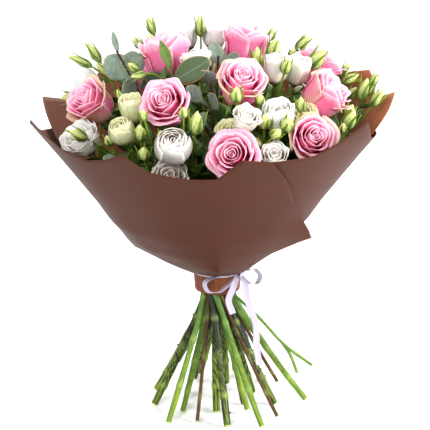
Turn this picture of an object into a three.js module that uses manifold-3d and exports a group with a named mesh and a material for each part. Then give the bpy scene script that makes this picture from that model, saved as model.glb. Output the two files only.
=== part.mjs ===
// A hand-tied mixed bouquet in paper, standing on its own cut stems.
//
// Pink roses, white lisianthus with green buds and eucalyptus are gathered in a spiral: every stem
// passes through one tie, slants, and comes out on the other side, so that the cut ends spread into
// a foot that carries the bouquet. Three sheets of paper are gathered round the neck and fan out
// round the flowers, and a narrow ribbon is tied in a bow over the neck.
//
// Millimetres, +Z up. The origin is the cut face of the middle stem, on the table. -Y is the front.

import * as THREE from 'three';
import { mergeVertices } from 'three/addons/utils/BufferGeometryUtils.js';
import Module from 'manifold-3d';

const wasm = await Module();
wasm.setup();
const { Manifold, Mesh: ManifoldMesh } = wasm;

// ---------------------------------------------------------------- driving dimensions

const TIE_HEIGHT = 144; // from the table to the string
const SPIRAL_TURN = 50; // degrees that a stem turns about the axis from the tie to its foot
const FOOT_SPREAD = 0.042; // per mm: how fast the stems part away from the tie
const BUNDLE_RADIUS = 20.2; // of all the stems where the string squeezes them
const STEM_GAP = 0.4; // between neighbouring stems there

const ROSE_STEM = 3.3; // radii
const SPRAY_STEM = 2.7;
const TWIG = 2.3;
const TWIG_TIP = 1.2;
const SPRAY_TIP = 2;
const BRANCH_ROOT = 1.5;
const BRANCH = 1.15;
const ROSE_STEM_SIDES = 5;
const BRANCH_SIDES = 4; // of every other stem, branch and bud

const PETAL = 0.75; // thicknesses
const BLADE = 0.8;
const SEAT = 0.35; // clearance between a flower head and the green it sits on

const STRING_CLEAR = 0.7; // between the stems and the string wound round them
const STRING_THICKNESS = 1.2;
const STRING_WIDTH = 5;
const STRING_SIDES = 16;

const PAPER = 0.7; // thickness of a sheet
const PAPER_LAYER = 1.4; // from one sheet to the next at the neck
const BOWL_SHIFT = -8; // the paper bowl leans towards -X

const RIBBON_WIDTH = 6.5;
const GATHERED_WIDTH = 2.6; // in the knot
const RIBBON_THICKNESS = 0.7;
const BAND_HEIGHT = 157; // middle of the ribbon round the neck
const BAND_RADIUS = 29; // inside of the ribbon round the neck
const BAND_SIDES = 14;
const KNOT_SIZE = [5.5, 3, 5]; // half its width, depth and height
const KNOT_TURN = 50; // degrees

// Where each rose stands, where it looks, and the height of its cut end above the table.
// at is the middle of the head; face is [bearing anticlockwise from +X, lean from upright].
const ROSES = {
  a: { at: [-139, -23, 361], face: [200, 48], cut: 0 },
  b: { at: [-54, -96, 379], face: [-112, 52], cut: 0 },
  c: { at: [-56, -4, 414], face: [150, 14], cut: 0 },
  d: { at: [31, 17, 421], face: [50, 12], cut: 0 },
  e: { at: [24, -83, 399], face: [-75, 36], cut: 0 },
  f: { at: [115, -57, 380], face: [-12, 46], cut: 0 },
  g: { at: [17, -147, 338], face: [-103, 64], cut: 0 },
  h: { at: [97, -116, 347], face: [-72, 60], cut: 0 },
  i: { at: [112, 25, 391], face: [30, 30], cut: 12 },
  j: { at: [-78, 92, 372], face: [125, 42], cut: 0 },
  k: { at: [45, 98, 378], face: [70, 40], cut: 0 },
};

// Lisianthus sprays. A bloom is [x, y, z, bearing, lean, width, height, form], and a bud is
// [x, y, z, bearing, lean, length, width]; x, y, z is its middle.
const SPRAYS = {
  left: {
    cut: 0,
    blooms: { left: [-149, 20, 377, 165, 35, 28, 28, 'globe'] },
    buds: [
      [-155, 25, 400, 172, 66, 30, 10],
      [-140, 30, 409, 150, 42, 28, 11],
      [-127, 19, 391, 185, 52, 26, 11],
      [-167, 12, 361, 190, 84, 18, 13],
    ],
  },
  front_left: {
    cut: 0,
    blooms: {
      front_left: [-147, -55, 329, -130, 40, 38, 32, 'open'],
      cream_globe: [-102, -100, 352, -110, 35, 27, 27, 'globe'],
    },
    buds: [
      [-150, -84, 344, -140, 60, 26, 12],
      [-117, -92, 340, -150, 25, 12, 11],
      [-160, -34, 316, -160, 60, 18, 8],
    ],
  },
  middle_left: {
    cut: 6,
    blooms: { cream_cup: [-92, -77, 370, -120, 15, 25, 31, 'cup'] },
    buds: [
      [-82, -119, 356, -100, 15, 18, 14],
      [-78, -129, 377, -160, 15, 13, 10],
      [-60, -124, 355, -110, 15, 10, 9],
      [-106, -60, 381, 190, 25, 15, 7],
      [-93, -24, 404, 200, 50, 15, 10],
      [-86, -54, 402, 205, 95, 17, 9],
    ],
  },
  front: {
    cut: 0,
    blooms: {
      front_upper: [-47, -142, 347, -90, 38, 37, 31, 'globe'],
      front_lower: [-51, -134, 309, -80, 40, 34, 26, 'open'],
    },
    buds: [
      [-78, -128, 336, -100, 20, 15, 14],
      [-36, -133, 381, -90, 5, 12, 11],
      [-23, -129, 369, -60, 10, 26, 16],
    ],
  },
  front_right: {
    cut: 0,
    fork: [40, -66, 282],
    blooms: {
      middle: [28, -133, 373, -60, 34, 27, 26, 'open'],
      middle_low: [11, -112, 353, -100, 40, 24, 24, 'open'],
      small: [59, -133, 333, -95, 45, 26, 24, 'open'],
    },
    buds: [
      [19, -120, 397, -95, 8, 18, 13],
      [44, -108, 389, -80, 15, 12, 11],
      [48, -126, 370, -90, 18, 17, 15],
      [60, -138, 360, -40, 45, 15, 13],
      [41, -128, 347, -150, 20, 14, 9],
    ],
  },
  right_front: {
    cut: 0,
    fork: [52, -56, 292],
    blooms: {
      wide: [64, -106, 369, -100, 25, 33, 32, 'cup'],
      cream_open: [91, -78, 363, -90, 38, 26, 24, 'open'],
    },
    buds: [
      [87, -102, 382, -95, 5, 17, 11],
      [72, -133, 369, -45, 30, 17, 15],
    ],
  },
  top_right: {
    cut: 8,
    blooms: {
      tulip_left: [62, -47, 407, -90, 6, 25, 32, 'cup'],
      tulip_right: [86, -32, 402, -40, 14, 27, 32, 'cup'],
    },
    buds: [
      [61, -6, 420, 30, 15, 25, 15],
      [42, -47, 419, -100, 5, 26, 14],
      [73, -66, 415, -30, 18, 19, 12],
      [83, 21, 410, -30, 25, 12, 9],
      [109, -5, 409, 0, 42, 28, 17],
      [97, 55, 414, 15, 50, 25, 12],
    ],
  },
  right: {
    cut: 24,
    blooms: {},
    buds: [
      [144, 43, 385, 10, 32, 21, 10],
      [149, 21, 381, -5, 62, 20, 11],
      [151, 22, 364, 0, 40, 16, 11],
      [163, 14, 370, 0, 20, 27, 13],
      [176, 22, 380, 0, 22, 16, 9],
      [178, 6, 362, 0, 32, 23, 13],
      [172, 32, 368, 10, 18, 20, 11],
      [143, -38, 358, -20, 30, 18, 14],
      [142, -63, 356, -20, 25, 24, 16],
      [133, -86, 352, -60, 15, 12, 9],
    ],
  },
  top_left: {
    cut: 0,
    blooms: {
      ruffled: [-23, -44, 413, 150, 14, 30, 28, 'open'],
      top_left: [-37, 50, 421, 120, 12, 28, 28, 'open'],
      top_right: [-4, 52, 422, 80, 12, 28, 28, 'open'],
    },
    buds: [
      [-76, 50, 435, 160, 20, 22, 10],
      [-73, 38, 419, 170, 38, 22, 13],
      [-90, 42, 417, 165, 33, 16, 10],
      [-84, 26, 407, 190, 75, 13, 8],
      [-20, 40, 437, 120, 5, 25, 12],
      [60, 46, 426, 50, 25, 15, 10],
    ],
  },
  back: {
    cut: 0,
    fork: [-4, 68, 276],
    blooms: {
      back_left: [-20, 112, 372, 100, 40, 34, 30, 'open'],
      back_low: [-12, 138, 338, 95, 60, 30, 27, 'globe'],
      back_right: [98, 88, 356, 40, 50, 32, 30, 'open'],
    },
    buds: [
      [12, 104, 396, 80, 20, 20, 12],
      [-46, 128, 350, 115, 45, 22, 12],
      [66, 122, 352, 65, 50, 20, 12],
    ],
  },
};

// Eucalyptus twigs. tip is where the twig ends. A leaf is [x, y, z of its far end, length, width,
// bearing and lean of its upper face].
const EUCALYPTUS = {
  left: {
    tip: [-112, -4, 418],
    cut: 0,
    leaves: [
      [-116, 2, 438, 27, 6, 200, 85],
      [-122, -2, 408, 26, 26, -105, 55],
      [-96, 2, 414, 26, 24, -85, 50],
      [-104, -38, 384, 24, 30, -95, 45],
      [-74, -20, 396, 24, 22, -60, 50],
      [-110, 44, 390, 26, 24, 140, 45],
    ],
  },
  middle: {
    tip: [-8, -80, 400],
    cut: 14,
    leaves: [
      [-3, -96, 391, 26, 20, -90, 50],
      [-34, -82, 396, 24, 18, -110, 50],
      [-20, -108, 372, 26, 16, -80, 65],
      [4, -100, 352, 24, 14, -60, 70],
      [-26, -112, 348, 26, 14, -120, 70],
    ],
  },
  top: {
    tip: [0, -18, 415],
    cut: 0,
    leaves: [
      [-14, -78, 413, 38, 24, -100, 35],
      [22, -36, 422, 24, 16, -60, 45],
      [-6, -10, 428, 24, 20, -120, 40],
      [12, 60, 408, 28, 24, 90, 40],
      [-30, 22, 412, 26, 22, 140, 40],
    ],
  },
  front: {
    tip: [-98, -118, 322],
    cut: 0,
    leaves: [
      [-104, -136, 326, 26, 20, -120, 50],
      [-82, -146, 318, 26, 20, -95, 55],
      [-122, -112, 326, 26, 20, -150, 50],
      [-64, -110, 326, 26, 20, -60, 40],
    ],
  },
};

// Inside of the gathered paper, [height, radius]: a neck that opens into a bowl.
const BOWL = [
  [138, 23.6], [162, 24.8], [168, 35], [190, 82], [214, 97], [254, 123], [309, 164],
  [352, 197.5], [390, 221],
];

// Each sheet: the layer it lies in, the heights of its rows, the bearings of its two edges at each
// of those heights, and its rim as [bearing, height].
const SHEETS = {
  paper_back: {
    layer: 0,
    rows: [138, 162, 168, 190, 254, 309],
    edges: [[-34, 214], [-34, 214], [-32, 212], [-26, 206], [-20, 198], [-16, 190]],
    rim: [
      [-14, 326], [4, 367], [16, 350], [28, 373], [39, 363], [48, 370], [66, 352], [80, 355],
      [94, 362], [110, 350], [120, 358], [128, 364], [138, 350], [148, 336], [166, 353], [184, 320],
    ],
  },
  paper_right: {
    layer: 1,
    rows: [138.5, 162, 168, 190, 214, 254, 309],
    edges: [[-100, 48], [-100, 48], [-99, 46], [-95, 40], [-92, 34], [-90, 30], [-88, 26]],
    rim: [
      [-88, 322], [-80, 335], [-72, 342], [-64, 342], [-57, 343], [-50, 355], [-41, 373],
      [-32, 348], [-22, 336], [-12, 332], [-2, 328], [9, 325], [24, 318],
    ],
  },
  paper_front: {
    layer: 2,
    rows: [139, 162, 168, 190, 214, 254, 309],
    edges: [
      [-208, -46], [-208, -46], [-208, -46], [-206, -48], [-204, -17], [-200, -37], [-198, -62],
    ],
    flap: 15,
    rim: [
      [-196, 318], [-186, 323], [-176, 330], [-166, 345], [-153, 364], [-144, 338], [-134, 330],
      [-124, 338], [-116, 350], [-110, 330], [-96, 323], [-88, 324], [-81, 349], [-72, 344],
    ],
  },
};

// How much further apart the sheets stand where they open, and the share of a flap's lift, both
// as [height, value].
const LOOSE = [[150, 0], [162, 0.3], [168, 2.6], [190, 3], [400, 3]];
const FLAP_LIFT = [[168, 0], [190, 0.5], [214, 1], [254, 0.25], [309, 0]];

// The bow, tied in front over the neck: the knot and the middle lines of its loops and tails.
const KNOT = [23.7, -19.9, 157];
const LOOPS = {
  left: [
    [22, -24, 157], [9, -33.5, 158.5], [-5, -34, 155.5], [-15, -32, 148], [-12, -33, 139.5],
    [0, -34, 138.5], [11, -32, 146], [21, -22, 156],
  ],
  right: [
    [24, -20, 158], [34, -22, 160.5], [43, -26, 162], [48, -27, 156], [45, -26, 147.5],
    [36, -24, 145.5], [25, -20, 156],
  ],
};
const TAILS = {
  short: [[22, -20, 156], [16, -30, 139], [12, -33, 129], [17, -37, 113]],
  long: [[24, -19, 156], [30, -25, 147], [34, -29, 126], [43, -36, 99], [44, -47, 76], [47, -55, 58]],
};

// ---------------------------------------------------------------- small helpers

const DEGREE = Math.PI / 180;
const vec = (x, y, z) => new THREE.Vector3(x, y, z);
const up = vec(0, 0, 1);
const triple = ([x, y, z]) => vec(x, y, z);
const WELD = 1e-4; // vertices nearer than this are one

// A unit vector from a bearing, anticlockwise from +X, and a lean from upright.
function facing([bearing, lean]) {
  return vec(
    Math.sin(lean * DEGREE) * Math.cos(bearing * DEGREE),
    Math.sin(lean * DEGREE) * Math.sin(bearing * DEGREE),
    Math.cos(lean * DEGREE),
  );
}

// A point turned about the Z axis.
const turned = (p, angle) => p.clone().applyAxisAngle(up, angle);

// The value at x of the broken line through [x, y] pairs.
function along(pairs, x) {
  const next = pairs.findIndex(([at]) => at >= x);
  if (next === 0) return pairs[0][1];
  if (next < 0) return pairs[pairs.length - 1][1];
  const [[x0, y0], [x1, y1]] = [pairs[next - 1], pairs[next]];
  return y0 + ((y1 - y0) * (x - x0)) / (x1 - x0);
}

// A solid from a closed geometry, turned the right way out.
function solidOf(geometry) {
  geometry.deleteAttribute('normal');
  geometry.deleteAttribute('uv');
  const { attributes, index } = mergeVertices(geometry, WELD);
  const build = (triangles) =>
    new Manifold(
      new ManifoldMesh({
        numProp: 3,
        vertProperties: new Float32Array(attributes.position.array),
        triVerts: new Uint32Array(triangles),
      }),
    );
  const triangles = Array.from(index.array);
  const made = build(triangles);
  return made.volume() > 0 ? made : build(triangles.reverse());
}

// A solid from vertices and triangles.
function solid(points, triangles) {
  const geometry = new THREE.BufferGeometry().setFromPoints(points);
  geometry.setIndex(triangles);
  return solidOf(geometry);
}

// A closed body through rings of equally many points, with a fan over each end.
function loft(rings) {
  const sides = rings[0].length;
  const points = rings.flat();
  const triangles = [];
  for (let i = 0; i < rings.length - 1; i++) {
    for (let k = 0; k < sides; k++) {
      const [a, b] = [i * sides + k, i * sides + ((k + 1) % sides)];
      triangles.push(a, b, b + sides, a, b + sides, a + sides);
    }
  }
  const last = (rings.length - 1) * sides;
  for (let k = 1; k < sides - 1; k++) {
    triangles.push(0, k + 1, k, last, last + k, last + k + 1);
  }
  return solid(points, triangles);
}

// A thin body between two grids of points, rows by columns, closed round its edge.
function shell(front, back) {
  const rows = front.length;
  const columns = front[0].length;
  const points = [...front.flat(), ...back.flat()];
  const other = rows * columns;
  const triangles = [];
  const at = (i, j) => i * columns + j;
  for (let i = 0; i < rows - 1; i++) {
    for (let j = 0; j < columns - 1; j++) {
      const [a, b, c, d] = [at(i, j), at(i, j + 1), at(i + 1, j + 1), at(i + 1, j)];
      triangles.push(a, b, c, a, c, d);
      triangles.push(a + other, c + other, b + other, a + other, d + other, c + other);
    }
  }
  const edge = [];
  for (let j = 0; j < columns - 1; j++) edge.push(at(0, j));
  for (let i = 0; i < rows - 1; i++) edge.push(at(i, columns - 1));
  for (let j = columns - 1; j > 0; j--) edge.push(at(rows - 1, j));
  for (let i = rows - 1; i > 0; i--) edge.push(at(i, 0));
  edge.forEach((a, n) => {
    const b = edge[(n + 1) % edge.length];
    triangles.push(b, a, a + other, b, a + other, b + other);
  });
  return solid(points, triangles);
}

// The same grid moved by depth against its own normals.
function offsetGrid(grid, depth) {
  const rows = grid.length;
  const columns = grid[0].length;
  return grid.map((row, i) =>
    row.map((p, j) => {
      const across = row[Math.min(j + 1, columns - 1)].clone().sub(row[Math.max(j - 1, 0)]);
      const upward = grid[Math.min(i + 1, rows - 1)][j].clone().sub(grid[Math.max(i - 1, 0)][j]);
      const normal = across.cross(upward).normalize();
      return p.clone().addScaledVector(normal, -depth);
    }),
  );
}

// A grid of points from a function of s, from -1 to 1 across, and t, from 0 to 1 along.
function grid(columns, rows, point) {
  return Array.from({ length: rows + 1 }, (_, i) =>
    Array.from({ length: columns + 1 }, (_, j) => point((2 * j) / columns - 1, i / rows)),
  );
}

// A tube along points, with a radius for each. Its first end is cut level.
function tube(points, radii, sides) {
  let side = vec(1, 0, 0);
  const rings = points.map((p, i) => {
    const ahead = points[Math.min(i + 1, points.length - 1)];
    const behind = points[Math.max(i - 1, 0)];
    const tangent = i === 0 ? up.clone() : ahead.clone().sub(behind).normalize();
    side = side.clone().addScaledVector(tangent, -side.dot(tangent)).normalize();
    const other = tangent.clone().cross(side);
    return Array.from({ length: sides }, (_, k) => {
      const angle = (2 * Math.PI * k) / sides;
      return p
        .clone()
        .addScaledVector(side, radii[i] * Math.cos(angle))
        .addScaledVector(other, radii[i] * Math.sin(angle));
    });
  });
  return loft(rings);
}

// Points of a cubic curve that leaves from along one direction and arrives along another.
const SWEEP_PULL = 0.36; // how far its handles reach, as a share of its span

function sweep(from, fromWay, to, toWay, steps) {
  const reach = from.distanceTo(to) * SWEEP_PULL;
  const curve = new THREE.CubicBezierCurve3(
    from,
    from.clone().addScaledVector(fromWay, reach),
    to.clone().addScaledVector(toWay, -reach),
    to,
  );
  return curve.getPoints(steps);
}

// The matrix that stands a local +Z body on a point, facing a way, turned by a roll.
function standing(at, way, roll = 0) {
  const turn = new THREE.Quaternion().setFromUnitVectors(up, way);
  turn.multiply(new THREE.Quaternion().setFromAxisAngle(up, roll));
  return new THREE.Matrix4().compose(at, turn, vec(1, 1, 1));
}

// ---------------------------------------------------------------- flowers, in their own frame

// A petal from the profile of its middle line, four [radius, height] control points. It widens
// from its foot, its far edge is round, and lap sets one side in front of its neighbour.
function petal({ profile, turn, span, columns, rows, lap, foot, round }) {
  const middle = new THREE.CubicBezierCurve(...profile.map(([r, z]) => new THREE.Vector2(r, z)));
  const front = grid(columns, rows, (s, t) => {
    const line = middle.getPoint(t * (1 - round * s * s));
    const width = foot + (1 - foot) * Math.sin((Math.PI / 2) * Math.min(1, t / WIDEST));
    const angle = (turn + (s * span * width) / 2) * DEGREE;
    const radius = line.x + lap * s;
    return vec(radius * Math.cos(angle), radius * Math.sin(angle), line.y);
  });
  return shell(front, offsetGrid(front, PETAL));
}

const WIDEST = 0.6; // share of its length where a petal is at full width
const ROSE_HEIGHT = 46;
const ROSE_SUNK = 0.52; // share of it from the middle of a head down to its foot
const ROSE_HEART = {
  lobes: 4,
  profile: [[4, 4, 0], [17, 15, 9], [21, 14.5, 43], [13, 12, 31], [12, 9.5, 45], [2, 2, 38]],
};
const GUARDS = 4;
const GUARD = {
  profile: [[4, 2.5], [27, 1], [20, 30], [29.5, 40]],
  span: 94,
  columns: 2,
  rows: 3,
  lap: 1.5,
  foot: 0.42,
  round: 0.14,
};

// A body whose rings swell into lobes: petals that are still folded into each other. A ring is
// [radius at a lobe, radius between lobes, height]. The lobes of the last two rings are set
// between those of the others, and the edge dips between two lobes.
const DIP = 0.3;

function lobed({ lobes, profile, width = 1, height = 1 }) {
  const inner = profile.length - 2;
  const rings = profile.map(([peak, between, z], n) =>
    Array.from({ length: 2 * lobes }, (_, k) => {
      const atLobe = (k % 2 === 0) === n < inner;
      const angle = (Math.PI * k) / lobes;
      const r = (atLobe ? peak : between) * width;
      const dip = atLobe || n < 2 ? 0 : DIP * (peak - between);
      return vec(r * Math.cos(angle), r * Math.sin(angle), (z - dip) * height);
    }),
  );
  return loft(rings);
}

// A half-open rose: a folded heart in a whorl of guard petals.
function rose() {
  const guards = Array.from({ length: GUARDS }, (_, n) =>
    petal({ ...GUARD, turn: (360 * n) / GUARDS }),
  );
  return Manifold.union([lobed(ROSE_HEART), ...guards]);
}

// Lisianthus blooms, 1 wide and 1 high: an outer whorl with its rim, and a smaller one inside.
const BLOOM_FORMS = {
  globe: [
    [0.12, 0.12, 0], [0.42, 0.4, 0.14], [0.52, 0.48, 0.52], [0.41, 0.33, 0.92],
    [0.3, 0.27, 0.66], [0.24, 0.17, 1], [0.06, 0.06, 0.8],
  ],
  cup: [
    [0.12, 0.12, 0], [0.4, 0.38, 0.14], [0.47, 0.43, 0.5], [0.5, 0.37, 1],
    [0.33, 0.28, 0.6], [0.3, 0.18, 0.9], [0.06, 0.06, 0.62],
  ],
  open: [
    [0.12, 0.12, 0], [0.34, 0.32, 0.14], [0.42, 0.37, 0.55], [0.55, 0.37, 0.98],
    [0.27, 0.24, 0.6], [0.3, 0.18, 0.86], [0.06, 0.06, 0.56],
  ],
};
const BLOOM_LOBES = 5;

function bloom(width, height, form) {
  return lobed({ lobes: BLOOM_LOBES, profile: BLOOM_FORMS[form], width, height });
}

// Rings of a profile of [radius, height] pairs, standing on a foot and facing a way.
function ringsAt(foot, way, profile) {
  const side = vec(-way.y, way.x, 0);
  if (side.length() < WELD) side.set(1, 0, 0);
  side.normalize();
  const other = way.clone().cross(side);
  return profile.map(([r, z]) =>
    Array.from({ length: BRANCH_SIDES }, (_, k) => {
      const angle = (2 * Math.PI * k) / BRANCH_SIDES;
      return foot
        .clone()
        .addScaledVector(way, z)
        .addScaledVector(side, r * Math.cos(angle))
        .addScaledVector(other, r * Math.sin(angle));
    }),
  );
}

// A pointed bud, 1 wide and 1 long, and the calyx under a bloom, in mm.
const BUD_PROFILE = [[0.16, 0], [0.47, 0.22], [0.4, 0.62], [0.07, 1]];
const CALYX_PROFILE = [[1.2, -6], [3, -3], [3, -SEAT]];

// A branch that leaves a fork and ends in rings of its own: a bud or a calyx.
function branch(fork, way, foot, face, profile) {
  const first = foot.clone().addScaledVector(face, profile[0][1]);
  const [root, middle] = sweep(fork, way, first, face, 2);
  const onward = first.clone().sub(fork).normalize();
  return loft([
    ...ringsAt(root, way, [[BRANCH_ROOT, 0]]),
    ...ringsAt(middle, onward, [[BRANCH, 0]]),
    ...ringsAt(foot, face, profile),
  ]);
}

// The hip under a rose with its five sepals, as rings that reach out into a star, each
// [radius at a sepal, radius between sepals, height at a sepal, height between sepals].
const SEPALS = 5;
const HIP = [
  [2.6, 2.6, -11, -11],
  [5.2, 4.8, -6, -6],
  [21, 4.6, -8.4, -3.4],
  [20, 4.4, -7.7, -2.7],
  [4.4, 4.4, -SEAT, -SEAT],
];

function hip(stand) {
  const rings = HIP.map(([reach, between, tip, notch]) =>
    Array.from({ length: 2 * SEPALS }, (_, k) => {
      const [r, z] = k % 2 ? [between, notch] : [reach, tip];
      const angle = (Math.PI * k) / SEPALS;
      return vec(r * Math.cos(angle), r * Math.sin(angle), z).applyMatrix4(stand);
    }),
  );
  return loft(rings);
}

// A leaf from its root on the twig, along a narrow stalk, to the end of its blade. Its rows are
// [share of its length, share of its width].
const LEAF_OUTLINE = [[0.1, 0.4], [0.55, 1], [1, 0.22]];
const LEAF_DISH = 0.12; // how far its edges turn up, per mm from its rib
const STALK = { half: 0.8, least: 3 };

function leaf(root, end, length, width, face) {
  const way = end.clone().sub(root).normalize();
  const stalk = Math.max(STALK.least, end.distanceTo(root) - length);
  const base = root.clone().addScaledVector(way, stalk);
  const side = face.clone().cross(way).normalize();
  const lift = way.clone().cross(side).normalize();
  const rows = [
    { at: root, half: STALK.half, dish: 0 },
    ...LEAF_OUTLINE.map(([share, wide]) => ({
      at: base.clone().lerp(end, share),
      half: (wide * width) / 2,
      dish: LEAF_DISH,
    })),
  ];
  const front = rows.map(({ at, half, dish }) =>
    [-1, 0, 1].map((s) =>
      at
        .clone()
        .addScaledVector(side, s * half)
        .addScaledVector(lift, dish * half * s * s),
    ),
  );
  return shell(front, offsetGrid(front, BLADE));
}

// ---------------------------------------------------------------- the spiral of stems

// Squeezes round stems together at the tie: each starts where its head pulls it, and they are
// drawn to the middle until they touch, which keeps them in the order of their heads.
const SQUEEZE = { rounds: 3000, start: 0.3, draw: 0.02, easing: 1200 };

function squeeze(stems) {
  const places = stems.map(({ pull }) =>
    turned(vec(pull.x, pull.y, 0), SPIRAL_TURN * DEGREE).multiplyScalar(SQUEEZE.start),
  );
  const middle = stems.findIndex((s) => s.middle);
  for (let round = 0; round < SQUEEZE.rounds; round++) {
    const draw = SQUEEZE.draw * Math.max(0, 1 - round / SQUEEZE.easing);
    places.forEach((p) => p.multiplyScalar(1 - draw));
    pushApart(places, (i, j) => stems[i].radius + stems[j].radius + STEM_GAP);
    places.forEach((p, n) => p.clampLength(0, BUNDLE_RADIUS - stems[n].radius));
    places[middle].set(0, 0, 0);
  }
  return places;
}

// Moves each two points that are nearer than they should be half of what they lack apart.
function pushApart(points, least) {
  for (let i = 0; i < points.length; i++) {
    for (let j = i + 1; j < points.length; j++) {
      const apart = points[j].clone().sub(points[i]);
      const short = least(i, j) - apart.length();
      if (short <= 0) continue;
      apart.setLength(short / 2);
      points[i].sub(apart);
      points[j].add(apart);
    }
  }
}

// Where a stem that passes the tie at a place is at some height. The whole bundle is turned and
// spread together, so stems that clear each other at the tie clear each other everywhere.
function onSpiral(place, height) {
  const lift = height - TIE_HEIGHT;
  const grown = Math.hypot(1, FOOT_SPREAD * lift);
  const share = (SPIRAL_TURN * DEGREE) / Math.atan(FOOT_SPREAD * TIE_HEIGHT);
  const p = turned(place, -share * Math.atan(FOOT_SPREAD * lift)).multiplyScalar(grown);
  return p.setZ(height);
}

// Above the tie the stems rise to what they carry. They are bent apart at a few heights, level by
// level, so that each keeps clear of the others.
const LEVELS = [200, 245, 290];
const LEVEL_ROUNDS = 60;
const RISE_GAP = 1.2;
const SLANT = 1.12; // how much wider a slanting stem is where a level cuts it
const SPIRAL_BELOW = TIE_HEIGHT - 16;
const SPIRAL_TOP = TIE_HEIGHT + 16;
const HEAD_ROOM = 24; // no level is nearer than this to what the stem carries
const NECK = 12; // the last stretch of a stem, in line with what it carries

// The point of a line, from its point number first on, where it passes a height.
function atHeight(line, height, first = 1) {
  const n = line.findIndex((p, i) => i >= first && p.z >= height);
  if (n < 0) return line[line.length - 1].clone();
  const t = (height - line[n - 1].z) / (line[n].z - line[n - 1].z);
  return line[n - 1].clone().lerp(line[n], t);
}

function bendApart(stems) {
  for (const s of stems) {
    const start = onSpiral(s.place, SPIRAL_TOP);
    const leave = start.clone().sub(onSpiral(s.place, TIE_HEIGHT)).normalize();
    const line = sweep(start, leave, s.to, s.way, 24);
    s.levels = LEVELS.filter((z) => z < s.to.z - HEAD_ROOM).map((z) => atHeight(line, z));
  }
  for (let round = 0; round < LEVEL_ROUNDS; round++) {
    LEVELS.forEach((_, level) => {
      const here = stems.filter((s) => s.levels.length > level);
      const points = here.map((s) => s.levels[level]);
      pushApart(points, (i, j) => SLANT * (here[i].radius + here[j].radius) + RISE_GAP);
    });
  }
}

// A stem from its cut end up through the tie and on to what it carries, as points.
const BELOW = [0, 0.55, 1]; // shares of the way from the cut end to the tie
const FREE_FROM = BELOW.length + 1; // the number of its first point above the tie

function courseOf({ place, cut, to, way, levels }) {
  const below = BELOW.map((t) => onSpiral(place, cut + (SPIRAL_BELOW - cut) * t));
  const through = [TIE_HEIGHT, SPIRAL_TOP].map((z) => onSpiral(place, z));
  return [...below, ...through, ...levels, to.clone().addScaledVector(way, -NECK), to];
}

// A stem keeps its radius as far as the tie and thins from there to its tip.
function stem(course, radius, tip, sides = BRANCH_SIDES) {
  const radii = course.map((_, n) => {
    const t = Math.max(0, (n - FREE_FROM) / (course.length - 1 - FREE_FROM));
    return radius + (tip - radius) * t;
  });
  return tube(course, radii, sides);
}

// ---------------------------------------------------------------- the nodes

const COLOURS = {
  rose: { color: 0xf08fb8, roughness: 0.6 },
  lisianthus: { color: 0xf6f1e4, roughness: 0.6 },
  green: { color: 0x5d8f35, roughness: 0.55 },
  bud: { color: 0xa9c466, roughness: 0.55 },
  eucalyptus: { color: 0x7f988a, roughness: 0.7 },
  paper: { color: 0x70493c, roughness: 0.7 },
  ribbon: { color: 0xece6f2, roughness: 0.4 },
  string: { color: 0xc9b48a, roughness: 0.9 },
};

const materials = Object.fromEntries(
  Object.entries(COLOURS).map(([name, look]) => [
    name,
    new THREE.MeshStandardMaterial({ ...look, metalness: 0 }),
  ]),
);

const nodes = []; // { name, look, body }, or local and stand instead of body

// Heads and forks pull the stems, so they are worked out first.
const tie = vec(0, 0, TIE_HEIGHT);

const roseStems = Object.entries(ROSES).map(([name, { at, face, cut }]) => {
  const way = facing(face);
  const foot = triple(at).addScaledVector(way, -ROSE_HEIGHT * ROSE_SUNK);
  return { name, way, to: foot, pull: foot, radius: ROSE_STEM, cut };
});

const FORK = 0.6; // share of the way from the tie to the middle of what a spray carries

const sprayStems = Object.entries(SPRAYS).map(([name, spray]) => {
  const members = [...Object.values(spray.blooms), ...spray.buds].map(triple);
  const mean = members.reduce((sum, p) => sum.add(p), vec(0, 0, 0)).divideScalar(members.length);
  const fork = spray.fork ? triple(spray.fork) : tie.clone().lerp(mean, FORK);
  const way = mean.clone().sub(tie).normalize();
  return { name, spray, way, to: fork, pull: mean, radius: SPRAY_STEM, cut: spray.cut };
});

const TWIG_CENTRE = vec(0, 0, 204); // twigs point away from here

const twigStems = Object.entries(EUCALYPTUS).map(([name, twig]) => {
  const tip = triple(twig.tip);
  const way = tip.clone().sub(TWIG_CENTRE).normalize();
  return { name, twig, way, to: tip, pull: tip, radius: TWIG, cut: twig.cut };
});

const stems = [...roseStems, ...sprayStems, ...twigStems];
const MIDDLE_ROSE = 'd'; // its stem stands in the middle of the spiral
roseStems.find(({ name }) => name === MIDDLE_ROSE).middle = true;
squeeze(stems).forEach((place, n) => {
  stems[n].place = place;
});
bendApart(stems);

// Roses: a head and, under it, the stem with its hip and five sepals. Each is turned by its
// letter, so that no two show the same side.
const HIP_SUNK = 8; // the stem ends this far under the head, inside the hip
const STEM_TAPER = 0.8;

for (const flower of roseStems) {
  const { name, way, to, radius } = flower;
  const stand = standing(to, way, name.charCodeAt(0));
  nodes.push({ name: `rose_${name}`, local: rose(), stand, look: 'rose' });
  const course = courseOf({ ...flower, to: to.clone().addScaledVector(way, -HIP_SUNK) });
  const green = stem(course, radius, STEM_TAPER * radius, ROSE_STEM_SIDES);
  nodes.push({ name: `rose_${name}_stem`, body: green.add(hip(stand)), look: 'green' });
}

// Sprays: a stem that forks to its buds and blooms, and the white heads.
const FORK_SUNK = 3; // branches start this far down in the stem

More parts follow.
